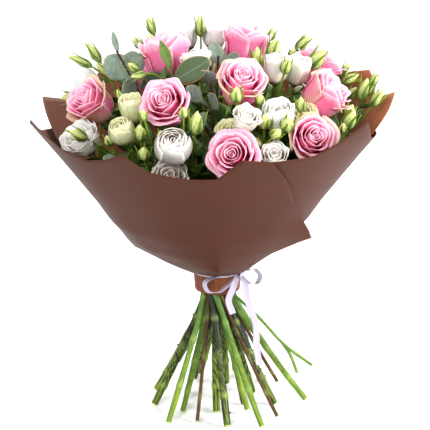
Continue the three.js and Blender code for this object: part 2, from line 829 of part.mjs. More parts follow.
for (const sprig of sprayStems) {
  const { name, spray, way, to, radius } = sprig;
  const parts = [stem(courseOf(sprig), radius, SPRAY_TIP)];
  const fork = to.clone().addScaledVector(way, -FORK_SUNK);
  for (const [x, y, z, bearing, lean, length, width] of spray.buds) {
    const face = facing([bearing, lean]);
    const foot = vec(x, y, z).addScaledVector(face, -length / 2);
    const profile = BUD_PROFILE.map(([r, t]) => [r * width, t * length]);
    parts.push(branch(fork, way, foot, face, profile));
  }
  for (const [head, [x, y, z, bearing, lean, width, height, form]] of Object.entries(spray.blooms)) {
    const face = facing([bearing, lean]);
    const foot = vec(x, y, z).addScaledVector(face, -height / 2);
    parts.push(branch(fork, way, foot, face, CALYX_PROFILE));
    const local = bloom(width, height, form);
    nodes.push({ name: `bloom_${head}`, local, stand: standing(foot, face, x), look: 'lisianthus' });
  }
  nodes.push({ name: `spray_${name}`, body: Manifold.union(parts), look: 'bud' });
}

// Eucalyptus: a twig with its round leaves on short stalks. A leaf's root lies lower on the twig
// the further the leaf stands aside.
const ROOT_DROP = { length: 0.8, aside: 0.4 };

for (const sprig of twigStems) {
  const { name, twig, to, radius } = sprig;
  const course = courseOf(sprig);
  const parts = [stem(course, radius, TWIG_TIP)];
  for (const [x, y, z, length, width, bearing, lean] of twig.leaves) {
    const aside = Math.hypot(x - to.x, y - to.y);
    const height = Math.min(to.z - 3, z - ROOT_DROP.length * length - ROOT_DROP.aside * aside);
    const root = atHeight(course, height, FREE_FROM + 1);
    parts.push(leaf(root, vec(x, y, z), length, width, facing([bearing, lean])));
  }
  nodes.push({ name: `eucalyptus_${name}`, body: Manifold.union(parts), look: 'eucalyptus' });
}

// ---------------------------------------------------------------- paper, string and ribbon

const NECK_TOP = 162; // the paper leans and opens from here up
const LEAN_RISE = 40; // and has its whole lean this much higher

// The point of the bowl at a bearing and a height, some way outside its inner face.
function onBowl(bearing, height, out) {
  const lean = Math.min(1, Math.max(0, (height - NECK_TOP) / LEAN_RISE));
  const radius = along(BOWL, height) + out;
  return vec(
    radius * Math.cos(bearing * DEGREE) + BOWL_SHIFT * lean,
    radius * Math.sin(bearing * DEGREE),
    height,
  );
}

// A sheet of paper over the bowl: one column for each point of its rim. A flap is how far its
// low corner stands off the sheet under it.
function sheet({ layer, rows, edges, rim, flap = 0 }) {
  const [first, last] = [rim[0][0], rim[rim.length - 1][0]];
  const out = (height) => layer * (PAPER_LAYER + along(LOOSE, height));
  const low = rows.map((height, i) =>
    rim.map(([top]) => {
      const share = (top - first) / (last - first);
      const bearing = edges[i][0] + (edges[i][1] - edges[i][0]) * share;
      const lifted = flap * along(FLAP_LIFT, height) * share ** 4;
      return onBowl(bearing, height, out(height) + lifted);
    }),
  );
  const high = rim.map(([bearing, height]) => onBowl(bearing, height, out(height)));
  const front = [...low, high];
  return shell(front, offsetGrid(front, PAPER));
}

for (const [name, form] of Object.entries(SHEETS)) {
  nodes.push({ name, body: sheet(form), look: 'paper' });
}

// The corners of a loop drawn tight: reach(angle) is how far out it lies in a direction.
function loopRound(sides, reach) {
  const step = (2 * Math.PI) / sides;
  return Array.from({ length: sides }, (_, k) => {
    const [a, b] = [k * step, (k + 1) * step];
    return new THREE.Vector2(
      (reach(a) * Math.sin(b) - reach(b) * Math.sin(a)) / Math.sin(step),
      (reach(b) * Math.cos(a) - reach(a) * Math.cos(b)) / Math.sin(step),
    );
  });
}

// A flat band between two such loops, with its middle at a height.
function hoop(inside, outside, width, middle) {
  const outline = new THREE.Shape(outside);
  outline.holes.push(new THREE.Path(inside));
  const geometry = new THREE.ExtrudeGeometry(outline, { depth: width, bevelEnabled: false });
  return solidOf(geometry.translate(0, 0, middle - width / 2));
}

// String wound round the squeezed stems.
function roundStems(clear) {
  return loopRound(STRING_SIDES, (angle) => {
    const way = vec(Math.cos(angle), Math.sin(angle), 0);
    return clear + Math.max(...stems.map(({ place, radius }) => place.dot(way) + radius));
  });
}

const wound = [roundStems(STRING_CLEAR), roundStems(STRING_CLEAR + STRING_THICKNESS)];
nodes.push({ name: 'string', body: hoop(...wound, STRING_WIDTH, TIE_HEIGHT), look: 'string' });

// A ribbon along a line, its width across the line and towards lean. It is gathered where it
// enters the knot: at its first point, and a loop at its last too.
function tape(points, lean, loop) {
  const line = points.map(triple);
  const front = line.map((p, i) => {
    const ahead = line[Math.min(i + 1, line.length - 1)].clone();
    const tangent = ahead.sub(line[Math.max(i - 1, 0)]).normalize();
    const across = lean.clone().addScaledVector(tangent, -lean.dot(tangent)).normalize();
    const gathered = i === 0 || (loop && i === line.length - 1);
    const width = gathered ? GATHERED_WIDTH : RIBBON_WIDTH;
    return [-0.5, 0.5].map((s) => p.clone().addScaledVector(across, s * width));
  });
  return shell(front, offsetGrid(front, RIBBON_THICKNESS));
}

const outward = vec(KNOT[0], KNOT[1], 0).normalize();
const LOOP_LEAN = 0.3; // how far up the width of a loop is turned, and of a tail
const TAIL_LEAN = 0.2;

const round = [BAND_RADIUS, BAND_RADIUS + RIBBON_THICKNESS].map((radius) =>
  loopRound(BAND_SIDES, () => radius),
);
const knot = new THREE.SphereGeometry(1, 5, 3)
  .scale(...KNOT_SIZE)
  .rotateZ(KNOT_TURN * DEGREE)
  .translate(...KNOT);
const ribbon = [
  hoop(...round, RIBBON_WIDTH, BAND_HEIGHT),
  solidOf(knot),
  ...Object.values(LOOPS).map((line) => tape(line, outward.clone().setZ(LOOP_LEAN), true)),
  ...Object.values(TAILS).map((line) => tape(line, vec(-outward.y, outward.x, TAIL_LEAN), false)),
];
nodes.push({ name: 'ribbon', body: Manifold.union(ribbon), look: 'ribbon' });

// ---------------------------------------------------------------- the group

const bouquet = new THREE.Group();

// The triangles of a solid as a geometry.
function geometryOf(body) {
  const { numProp, vertProperties, triVerts, numVert } = body.getMesh();
  const position = new Float32Array(numVert * 3);
  for (let n = 0; n < numVert; n++) {
    position.set(vertProperties.subarray(n * numProp, n * numProp + 3), n * 3);
  }
  const geometry = new THREE.BufferGeometry();
  geometry.setAttribute('position', new THREE.BufferAttribute(position, 3));
  geometry.setIndex(new THREE.BufferAttribute(triVerts, 1));
  geometry.computeVertexNormals();
  return geometry;
}

for (const { name, body, local, stand, look } of nodes) {
  const mesh = new THREE.Mesh(geometryOf(local ?? body), materials[look]);
  mesh.name = name;
  if (stand) stand.decompose(mesh.position, mesh.quaternion, mesh.scale);
  bouquet.add(mesh);
}

export default bouquet;
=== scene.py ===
"""The dressed model of a hand-tied mixed bouquet: roses, lisianthus and eucalyptus in paper.

Tables are in millimetres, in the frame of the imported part: +Z up, -Y the front, the origin at the
cut face of the middle stem. Meshes are made in metres.
"""

import math

import bpy
import numpy as np
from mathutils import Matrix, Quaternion, Vector


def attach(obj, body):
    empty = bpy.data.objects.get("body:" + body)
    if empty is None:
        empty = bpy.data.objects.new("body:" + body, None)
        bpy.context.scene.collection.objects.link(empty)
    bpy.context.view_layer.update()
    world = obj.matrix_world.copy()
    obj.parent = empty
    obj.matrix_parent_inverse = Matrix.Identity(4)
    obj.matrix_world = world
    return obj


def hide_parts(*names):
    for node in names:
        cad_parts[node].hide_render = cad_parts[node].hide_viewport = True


bl_info = {
    "name": "Mixed flower bouquet",
    "version": (1, 0, 0),
    "blender": (4, 5, 0),
    "location": "View3D > Sidebar > Bouquet",
    "description": "Dresses the packed bouquet with petals, leaves, stems, paper and ribbon",
    "category": "Object",
}

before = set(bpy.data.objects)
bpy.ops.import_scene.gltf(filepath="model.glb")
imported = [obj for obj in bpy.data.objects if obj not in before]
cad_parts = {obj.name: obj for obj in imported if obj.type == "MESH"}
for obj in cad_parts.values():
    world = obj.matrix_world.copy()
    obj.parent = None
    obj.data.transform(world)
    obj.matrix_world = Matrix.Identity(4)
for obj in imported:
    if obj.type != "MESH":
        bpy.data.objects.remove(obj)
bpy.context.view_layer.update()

MM = 0.001
UP = Vector((0, 0, 1))

# ---------------------------------------------------------------- what the part is made of

# The middle of each rose, and where it looks: bearing anticlockwise from +X, lean from upright.
ROSES = {
    "a": ((-139, -23, 361), (222, 50)),
    "b": ((-54, -96, 379), (-112, 52)),
    "c": ((-56, -4, 414), (150, 14)),
    "d": ((31, 17, 421), (50, 12)),
    "e": ((24, -83, 399), (-75, 36)),
    "f": ((115, -57, 380), (-12, 46)),
    "g": ((17, -147, 338), (-103, 64)),
    "h": ((97, -116, 347), (-72, 60)),
    "i": ((112, 25, 391), (30, 30)),
    "j": ((-78, 92, 372), (125, 42)),
    "k": ((45, 98, 378), (70, 40)),
}

# Sprays: a bloom is its middle, bearing, lean, width, height and form, and a bud is its middle,
# bearing, lean, length and width.
SPRAYS = {
    "left": {
        "blooms": {"left": (-149, 20, 377, 165, 35, 28, 28, "globe")},
        "buds": [
            (-155, 25, 400, 172, 66, 30, 10), (-140, 30, 409, 150, 42, 28, 11),
            (-127, 19, 391, 185, 52, 26, 11), (-167, 12, 361, 190, 84, 18, 13),
        ],
    },
    "front_left": {
        "blooms": {
            "front_left": (-147, -55, 329, -130, 40, 38, 32, "open"),
            "cream_globe": (-102, -100, 352, -110, 35, 27, 27, "globe"),
        },
        "buds": [
            (-150, -84, 344, -140, 60, 26, 12), (-117, -92, 340, -150, 25, 12, 11),
            (-160, -34, 316, -160, 60, 18, 8),
        ],
    },
    "middle_left": {
        "blooms": {"cream_cup": (-92, -77, 370, -120, 15, 25, 31, "cup")},
        "buds": [
            (-82, -119, 356, -100, 15, 18, 14), (-78, -129, 377, -160, 15, 13, 10),
            (-60, -124, 355, -110, 15, 10, 9), (-106, -60, 381, 190, 25, 15, 7),
            (-93, -24, 404, 200, 50, 15, 10), (-86, -54, 402, 205, 95, 17, 9),
        ],
    },
    "front": {
        "blooms": {
            "front_upper": (-47, -142, 347, -90, 38, 37, 31, "globe"),
            "front_lower": (-51, -134, 309, -80, 40, 34, 26, "open"),
        },
        "buds": [
            (-78, -128, 336, -100, 20, 15, 14), (-36, -133, 381, -90, 5, 12, 11),
            (-23, -129, 369, -60, 10, 26, 16),
        ],
    },
    "front_right": {
        "fork": (40, -66, 282),
        "blooms": {
            "middle": (28, -133, 373, -60, 34, 27, 26, "open"),
            "middle_low": (11, -112, 353, -100, 40, 24, 24, "open"),
            "small": (59, -133, 333, -95, 45, 26, 24, "open"),
        },
        "buds": [
            (19, -120, 397, -95, 8, 18, 13), (44, -108, 389, -80, 15, 12, 11),
            (48, -126, 370, -90, 18, 17, 15), (60, -138, 360, -40, 45, 15, 13),
            (41, -128, 347, -150, 20, 14, 9),
        ],
    },
    "right_front": {
        "fork": (52, -56, 292),
        "blooms": {
            "wide": (64, -106, 369, -100, 25, 33, 32, "cup"),
            "cream_open": (91, -78, 363, -90, 38, 26, 24, "open"),
        },
        "buds": [(87, -102, 382, -95, 5, 17, 11), (72, -133, 369, -45, 30, 17, 15)],
    },
    "top_right": {
        "blooms": {
            "tulip_left": (62, -47, 407, -90, 6, 25, 32, "cup"),
            "tulip_right": (86, -32, 402, -40, 14, 27, 32, "cup"),
        },
        "buds": [
            (61, -6, 420, 30, 15, 25, 15), (42, -47, 419, -100, 5, 26, 14),
            (73, -66, 415, -30, 18, 19, 12), (83, 21, 410, -30, 25, 12, 9),
            (109, -5, 409, 0, 42, 28, 17), (97, 55, 414, 15, 50, 25, 12),
        ],
    },
    "right": {
        "blooms": {},
        "buds": [
            (144, 43, 385, 10, 32, 21, 10), (149, 21, 381, -5, 62, 20, 11),
            (151, 22, 364, 0, 40, 16, 11), (163, 14, 370, 0, 20, 27, 13),
            (176, 22, 380, 0, 22, 16, 9), (178, 6, 362, 0, 32, 23, 13),
            (172, 32, 368, 10, 18, 20, 11), (143, -38, 358, -20, 30, 18, 14),
            (142, -63, 356, -20, 25, 24, 16), (133, -86, 352, -60, 15, 12, 9),
        ],
    },
    "top_left": {
        "blooms": {
            "ruffled": (-23, -44, 413, 150, 14, 30, 28, "open"),
            "top_left": (-37, 50, 421, 120, 12, 28, 28, "open"),
            "top_right": (-4, 52, 422, 80, 12, 28, 28, "open"),
        },
        "buds": [
            (-76, 50, 435, 160, 20, 22, 10), (-73, 38, 419, 170, 38, 22, 13),
            (-90, 42, 417, 165, 33, 16, 10), (-84, 26, 407, 190, 75, 13, 8),
            (-20, 40, 437, 120, 5, 25, 12), (60, 46, 426, 50, 25, 15, 10),
        ],
    },
    "back": {
        "fork": (-4, 68, 276),
        "blooms": {
            "back_left": (-20, 112, 372, 100, 40, 34, 30, "open"),
            "back_low": (-12, 138, 338, 95, 60, 30, 27, "globe"),
            "back_right": (98, 88, 356, 40, 50, 32, 30, "open"),
        },
        "buds": [
            (12, 104, 396, 80, 20, 20, 12), (-46, 128, 350, 115, 45, 22, 12),
            (66, 122, 352, 65, 50, 20, 12),
        ],
    },
}

# Eucalyptus twigs: the tip, and leaves by their far end, length, width, and the bearing and lean of
# the upper face.
EUCALYPTUS = {
    "left": ((-112, -4, 418), [
        (-116, 2, 438, 27, 8, -110, 80), (-124, -4, 411, 32, 31, -105, 62),
        (-94, 0, 417, 31, 28, -85, 60), (-104, -38, 388, 28, 33, -95, 55),
        (-72, -22, 400, 29, 27, -60, 60), (-110, 44, 390, 26, 24, 140, 45),
    ]),
    "middle": ((-8, -80, 400), [
        (-3, -96, 391, 26, 20, -90, 50), (-34, -82, 396, 24, 18, -110, 50),
        (-20, -108, 372, 26, 16, -80, 65), (4, -100, 352, 24, 14, -60, 70),
        (-26, -112, 348, 26, 14, -120, 70),
    ]),
    "top": ((0, -18, 415), [
        (-14, -78, 413, 38, 24, -100, 35), (22, -36, 422, 24, 16, -60, 45),
        (-6, -10, 428, 24, 20, -120, 40), (12, 60, 408, 28, 24, 90, 40),
        (-30, 22, 412, 26, 22, 140, 40),
    ]),
    "front": ((-98, -118, 322), [
        (-104, -136, 326, 26, 20, -120, 50), (-82, -146, 318, 26, 20, -95, 55),
        (-122, -112, 326, 26, 20, -150, 50), (-64, -110, 326, 26, 20, -60, 40),
    ]),
}

# Leaves of their own beside roses: the foot and the end of the blade, its width, the way its upper
# face looks, and whether it is a broad one.
SINGLE_LEAVES = {
    "a": (((-112, -62, 298), (-127, -90, 336), 17, (-110, 62), False),
          ((-98, -74, 296), (-112, -102, 330), 15, (-100, 66), False),
          ((-90, -84, 300), (-92, -112, 336), 14, (-90, 66), False)),
    "b": (((-50, -60, 408), (-62, -64, 443), 12, (-80, 62), False),
          ((-45, -66, 400), (-9, -74, 424), 26, (-100, 74), True)),
}

# A thin forked side shoot of a spray, each of its lines from its cut end up.
SHOOTS = {
    "front": (
        ((109.5, -22, 50), (78.5, -20, 73.5), (45.5, -18, 110), (24, -15, 130), (14, -13, 139)),
        ((92, -20, 40), (84, -20, 62), (73, -20, 79)),
    ),
}
SHOOT = 1.8  # its radius

# The inside of the paper bowl, its heights and radii. It leans towards -X.
BOWL = ((138, 162, 168, 190, 214, 254, 309, 352, 390),
        (23.6, 24.8, 35, 82, 97, 123, 164, 197.5, 221))
BOWL_SHIFT = -8
LEAN_FROM, LEAN_RISE = 162, 40  # it starts at this height and is whole so much above it

# Low down the bowl is folded more than round: how square it is at a height, and a corner's bearing.
SQUARE = ((166, 190, 206, 232), (0, 0.75, 0.3, 0))
SQUARE_CORNER = 3

# Sheets: the layer each lies in, the heights of its rows, the bearings of its two edges there, its
# rim as bearings and heights, and whether its low corner is a flap.
SHEETS = {
    "paper_back": (
        0, (138, 162, 168, 190, 254, 309),
        ((-34, -34, -32, -26, -20, -16), (214, 214, 212, 206, 198, 190)),
        ((-14, 4, 16, 28, 39, 48, 66, 80, 94, 110, 120, 128, 138, 148, 166, 184),
         (326, 367, 350, 373, 363, 370, 352, 355, 362, 350, 358, 364, 350, 336, 353, 320)),
        False),
    "paper_right": (
        1, (138.5, 162, 168, 190, 214, 254, 309),
        ((-100, -100, -99, -95, -92, -90, -88), (48, 48, 46, 40, 34, 30, 26)),
        ((-88, -80, -72, -64, -57, -50, -41, -32, -22, -12, -2, 9, 24),
         (322, 335, 342, 342, 343, 355, 373, 348, 336, 332, 328, 325, 318)),
        False),
    "paper_front": (
        2, (139, 162, 168, 190, 219, 254, 282, 309),
        ((-208, -208, -208, -206, -204, -200, -199, -198),
         (-46, -46, -46, -50, -28, -43, -55, -62)),
        ((-196, -186, -176, -166, -153, -144, -134, -124, -116, -110, -96, -88, -81, -72),
         (318, 323, 330, 345, 364, 338, 330, 338, 350, 330, 323, 324, 349, 344)),
        True),
}
PAPER_LAYER = 1.4  # between one sheet and the next at the neck
LOOSE = ((150, 162, 168, 190, 400), (0, 0.3, 2.6, 3, 3))  # and so much more, by height
FLAP_FROM = -62  # from this bearing on the front sheet goes straight on instead of round
FLAP_LIFT = ((168, 190, 219, 254, 309), (0, 0.5, 1, 0.3, 0))
FLAP_REACH = 60  # the flap is never lifted further round than this
PLEATS_TO, PLEATS_FADE = 200, 35  # the height where the pleats of the neck end, and over how much
FOLDS_FROM, FOLDS_FADE = 166, 40  # the same for where the folds of the bowl begin
PAINT_FROM, PAINT_OVER = 131, 260  # the height where a sheet's share along is 0, and how far to 1
COLLAR = (0.125, 0.105)  # shares along between which the outside turns to the inside's colour
PAINTED_LIGHT_RIGHT = (0.15, 0.185)  # metres to the right, where the inside turns lighter and copper: painted light where light falls into the bowl

# The bow: the knot, and the middle lines of its loops and tails, as they are in the solid.
BOW_RISE = 7  # the pinch of the paper is so much higher
KNOT = (26, -21.8, 157 + BOW_RISE)
LOOPS = {
    "left": ((22, -24, 157), (9, -33.5, 158.5), (-5, -34, 155.5), (-15, -32, 148),
             (-12, -33, 139.5), (0, -34, 138.5), (11, -32, 146), (21, -22, 156)),
    "right": ((24, -20, 158), (34, -22, 160.5), (43, -26, 162), (48, -27, 156),
              (45, -26, 147.5), (36, -24, 145.5), (25, -20, 156)),
}
TAILS = {
    "short": ((22, -20, 156), (16, -30, 139), (12, -33, 129), (17, -37, 113)),
    "long": ((24, -19, 156), (30, -25, 147), (34, -29, 126), (43, -36, 99), (44, -47, 76),
             (47, -55, 58)),
}

BAND_RADIUS = 29.5  # of the ribbon round the neck
TAPE_DEPTH, BAND_DEPTH = 0.35, 0.4  # thickness of the ribbon in the bow, and round neck and knot
GATHERED = 2.6  # width of the ribbon where the knot squeezes it
TAIL_WIDER = 1.15  # the tails lie flatter than the loops
KNOT_SIZE = (3.0, 3.4, 4.6)  # from its middle outwards, sideways and up

STRING_RADIUS, STRING_TURNS = 0.6, 4

TIE_HEIGHT = 144  # where all the stems cross and the string holds them
UNDER_PAPER, OVER_TIE = 128, 160  # heights just under the paper, and well over the string
LEVELS = (200, 245, 290)  # heights that a stem's line passes on its way up
HEAD_ROOM = 24  # none of them is nearer than this to what the stem carries
ROSE_HEIGHT = 46  # of a head, from its foot
ROSE_SUNK = 0.52  # share of a head's height from its middle down to its foot
HIP_SUNK = 8  # a rose stem ends this far under the head
NECK = 12  # the last stretch of a stem, in line with what it carries
ROSE_STEM, SPRAY_STEM, TWIG = 4.3, 3.4, 2.1  # radii up to the tie
SPRAY_TIP, TWIG_TIP = 2, 1.2  # and at the top
STEM_TAPER = 240  # a stem reaches the radius of its tip so far over the tie
# Heights, and how much painted shade darkens a stem there: none near its cut end, more and more up
# into the shade of the bunch.
STEM_SHADE = ((30, 100, TIE_HEIGHT, TIE_HEIGHT + 120), (0, 0.35, 0.7, 0.9))
BRANCH_ROOT, BRANCH = 1.5, 1.15  # radii of a branch at its fork, and from half its length on
FORK_SHARE = 0.6  # of the way from the tie to the middle of what a spray carries
FORK_SUNK = 3  # the branches start so far inside the stem
LEAVES_FROM, SPRAY_LEAVES_FROM = 255, 215  # the rose stems and the sprays have leaves over these
ROSE_HIP, BLOOM_HIP = (10.4, 10.4, 10.5), (6, 6, 4)  # width both ways, and height
CALYX_WIDE, CALYX_LONG = 0.62, 15  # the sepals of a bloom: share of its width, and length
ROSE_LEAF, SPRAY_LEAF = (19, 31, 31), (15, 30, 30)  # width, depth of the bend, length

# Leaves along each branch of a spray: the row of its line, the side, the size and the lean.
BRANCH_LEAVES = (
    (3, 1, (11, 26, 26), 40), (6, -1, (10, 22, 22), 42), (8, 1, (10, 20, 20), 45),
    (11, -1, (8, 16, 16), 45),
)

TWIG_AIM = 204  # the tip of a twig points away from this height over the origin
LOWEST_LEAF = 165  # a eucalyptus leaf leaves its twig above this height


def srgb(red, green, blue):
    """A colour for Blender from its 0 to 255 values on a screen."""
    return tuple(
        c / 12.92 if c <= 0.04045 else ((c + 0.055) / 1.055) ** 2.4
        for c in (red / 255, green / 255, blue / 255)
    )


# ---------------------------------------------------------------- settings


def length(name, description, default, **limits):
    """A setting in metres."""
    return bpy.props.FloatProperty(
        name=name, description=description, default=default, unit="LENGTH", precision=5, **limits
    )


def colour(name, description, *default):
    """A colour setting, its default given as 0 to 255 values."""
    return bpy.props.FloatVectorProperty(
        name=name, description=description, default=srgb(*default), min=0, max=1, size=3,
        subtype="COLOR",
    )


class RoseSettings(bpy.types.PropertyGroup):
    """Sizes and colours of the roses."""

    thickness: length("Petal thickness", "Thickness of a rose petal", 0.00034, min=0.0001)
    curl: length("Rim curl", "How far the rims of the outer petals roll back", 0.0036)
    deep: colour("Deep pink", "Between the petals, towards their feet", 226, 46, 104)
    body: colour("Pink", "Over most of a petal", 248, 108, 156)
    pale: colour("Pale rim", "Along the rims", 250, 194, 214)
    back: colour("Outer side", "On the outside of the petals", 246, 128, 168)
    tan: colour("Weathered", "In patches on the guard petals", 196, 160, 112)
    fade: colour("Faded edge", "Along the edges of the guard petals", 232, 226, 176)


class LisianthusSettings(bpy.types.PropertyGroup):
    """Sizes and colours of the lisianthus."""

    thickness: length("Petal thickness", "Thickness of a lisianthus petal", 0.0003, min=0.0001)
    white: colour("Ivory", "Over most of a bloom", 228, 222, 209)
    shade: colour("Shaded ivory", "Towards the foot of a petal", 240, 230, 208)
    # Painted light: a whiter copy of the ivory for the blooms that get little light.
    white_painted_light: colour("White", "Over the blooms that are whitest", 250, 247, 242)
    # The two blooms low at the front get a darker copy of the ivory as painted shade: the second
    # colour below darkens most of each petal and its outer side.
    blush: colour("Blush", "Over the blooms low at the front", 234, 224, 214)
    blush_painted_shade: colour("Blush, outer side", "On the outside of those blooms", 174, 162, 152)
    cream: colour("Cream", "Over the youngest blooms", 230, 227, 174)
    heart: colour("Heart", "In the middle of the cream blooms", 212, 204, 108)
    bud: colour("Bud tip", "The upper part of a bud", 184, 194, 116)
    bud_foot: colour("Bud foot", "The lower part of a bud", 112, 134, 58)


class GreenSettings(bpy.types.PropertyGroup):
    """Sizes and colours of the stems, sepals and leaves."""

    sides: bpy.props.IntProperty(
        name="Stem sides", description="Sides of a stem's section", default=12, min=5, max=32
    )
    fresh: colour("Fresh green", "On the stems", 116, 140, 22)
    dark: colour("Dark green", "In the streaks and the shade of the stems", 16, 28, 5)
    leaf: colour("Leaf", "On the leaves among the flowers", 40, 66, 26)
    leaf_film: colour("Leaf film", "The dull film on those leaves", 66, 94, 46)
    cut: colour("Cut end", "On the cut ends", 170, 190, 104)
    scar: colour("Scar", "Where a leaf or thorn was", 68, 42, 22)
    sepal: colour("Sepal", "On the sepals", 66, 100, 36)
    bark: colour("Bark", "On the woody twigs", 84, 56, 26)


class EucalyptusSettings(bpy.types.PropertyGroup):
    """Colours of the eucalyptus, and of the broad leaf beside a rose."""

    leaf: colour("Grey green", "Over a leaf", 126, 152, 136)
    bloom: colour("Bloom", "The waxy film on a leaf", 184, 200, 192)
    edge: colour("Edge", "Along the edge of a leaf", 168, 130, 92)
    green: colour("Broad leaf", "Over the broad green leaf", 98, 136, 70)
    dark: colour("Back", "Under a leaf", 92, 112, 92)


class WrapSettings(bpy.types.PropertyGroup):
    """Sizes and colours of the paper, the ribbon and the string."""

    thickness: length("Paper thickness", "Thickness of a sheet", 0.0004, min=0.0001)
    crease: length("Creases", "How deep the folds of the paper are", 0.0009)
    paper: colour("Paper", "The outside of the paper", 67, 34, 21)
    inside: colour("Inside", "The inside of the paper", 106, 60, 38)
    # painted light: the inside of the paper is painted lighter and more copper towards its right
    # tip
    inside_painted_light: colour("Copper", "The inside of the paper towards its right tip", 164, 96, 58)
    sheen: colour("Sheen", "The sheen of the paper against the light", 176, 160, 176)
    ribbon: colour("Ribbon", "The satin ribbon", 170, 162, 182)
    ribbon_width: length("Ribbon width", "Width of the ribbon", 0.0065, min=0.002)
    string: colour("String", "The jute under the paper", 186, 160, 112)


class StageSettings(bpy.types.PropertyGroup):
    """The camera, the lights and the floor."""

    distance: length("Camera distance", "From the camera to the bouquet", 1.9)
    elevation: bpy.props.FloatProperty(
        name="Camera elevation", description="How far down the camera looks",
        default=math.radians(18), unit="ROTATION",
    )
    frame_width: length("Frame width", "What the picture holds at the bouquet", 0.4902)
    sky: bpy.props.FloatProperty(
        name="Sky", description="Strength of the even light all round", default=0.92, min=0
    )
    key: bpy.props.FloatProperty(
        name="Key light", description="Power of the large light at the front left", default=52,
        min=0, unit="POWER",
    )
    floor: colour("Floor", "The pale floor", 253, 253, 253)


SETTINGS = {
    "bouquet_rose": RoseSettings,
    "bouquet_lisianthus": LisianthusSettings,
    "bouquet_green": GreenSettings,
    "bouquet_eucalyptus": EucalyptusSettings,
    "bouquet_wrap": WrapSettings,
    "bouquet_stage": StageSettings,
}

# ---------------------------------------------------------------- node trees


class Socket:
    """An output in a node tree. Python's operators on it add Math nodes."""

    def __init__(self, tree, output):
        self.tree = tree
        self.output = output

    def math(self, operation, *others):
        return self.tree.add("ShaderNodeMath", {"operation": operation}, (self, *others))

    def __add__(self, other):
        return self.math("ADD", other)

    __radd__ = __add__

    def __sub__(self, other):
        return self.math("SUBTRACT", other)

    def __rsub__(self, other):
        return (self * -1) + other

    def __mul__(self, other):
        return self.math("MULTIPLY", other)

    __rmul__ = __mul__

    def __abs__(self):
        return self.math("ABSOLUTE")


class Tree:
    """A node tree, and one method that adds any node to it."""

    def __init__(self, tree):
        self.tree = tree

    def add(self, kind, settings=(), inputs=(), output=0):
        """A node of a kind: its settings are set first, then its sockets take values or links."""
        node = self.tree.nodes.new(kind)
        for name, value in dict(settings).items():
            setattr(node, name, value)
        pairs = inputs.items() if isinstance(inputs, dict) else enumerate(inputs)
        for key, value in pairs:
            socket = node.inputs[key]
            if isinstance(value, Socket):
                self.tree.links.new(value.output, socket)
            elif socket.type == "RGBA":
                socket.default_value = (*value, 1)
            else:
                socket.default_value = value
        return Socket(self, node.outputs[output]) if node.outputs else None


class Finish(Tree):
    """A material's node tree, with the few nodes that all the finishes here share."""

    def __init__(self, name):
        self.material = bpy.data.materials.new(name)
        self.material.use_nodes = True
        self.material.node_tree.nodes.clear()
        super().__init__(self.material.node_tree)

    def attribute(self, name):
        """A number that the mesh carries at its points."""
        return self.add("ShaderNodeAttribute", {"attribute_name": name}, output="Fac")

    def place(self):
        """The point in the object's own frame, in metres."""
        return self.add("ShaderNodeTexCoord", output="Object")

    def vector(self, x, y, z):
        return self.add("ShaderNodeCombineXYZ", inputs=(x, y, z))

    def noise(self, vector, scale, detail):
        return self.add(
            "ShaderNodeTexNoise", inputs={"Vector": vector, "Scale": scale, "Detail": detail}
        )

    def step(self, value, low, high):
        """0 below low, 1 above high, smooth between."""
        return self.add(
            "ShaderNodeMapRange", {"interpolation_type": "SMOOTHSTEP"},
            {"Value": value, "From Min": low, "From Max": high},
        )

    def mix(self, factor, a, b, blend="MIX"):
        return self.add(
            "ShaderNodeMix", {"data_type": "RGBA", "blend_type": blend},
            {0: factor, 6: a, 7: b}, output=2,
        )

    def shaded(self, tint, value):
        """A colour made darker or lighter by a number round 1."""
        grey = self.add("ShaderNodeCombineColor", inputs=(value, value, value))
        return self.mix(1.0, tint, grey, "MULTIPLY")

    def bump(self, height, depth, strength):
        return self.add(
            "ShaderNodeBump", inputs={"Height": height, "Distance": depth, "Strength": strength},
        )

    def done(self, **sockets):
        """Ends the material in a Principled shader and returns it."""
        named = {
            key.replace("_", " ").title().replace("Ior", "IOR"): value
            for key, value in sockets.items()
        }
        shader = self.add("ShaderNodeBsdfPrincipled", inputs=named)
        self.add("ShaderNodeOutputMaterial", inputs=(shader,))
        return self.material


# What petals, leaves, sheets and the ribbon carry at each point: shares along and across, which
# layer of a flower it is, or how far from a fold, and 1 on the inner or under face.
PAINT = ("along", "across", "layer", "inside")


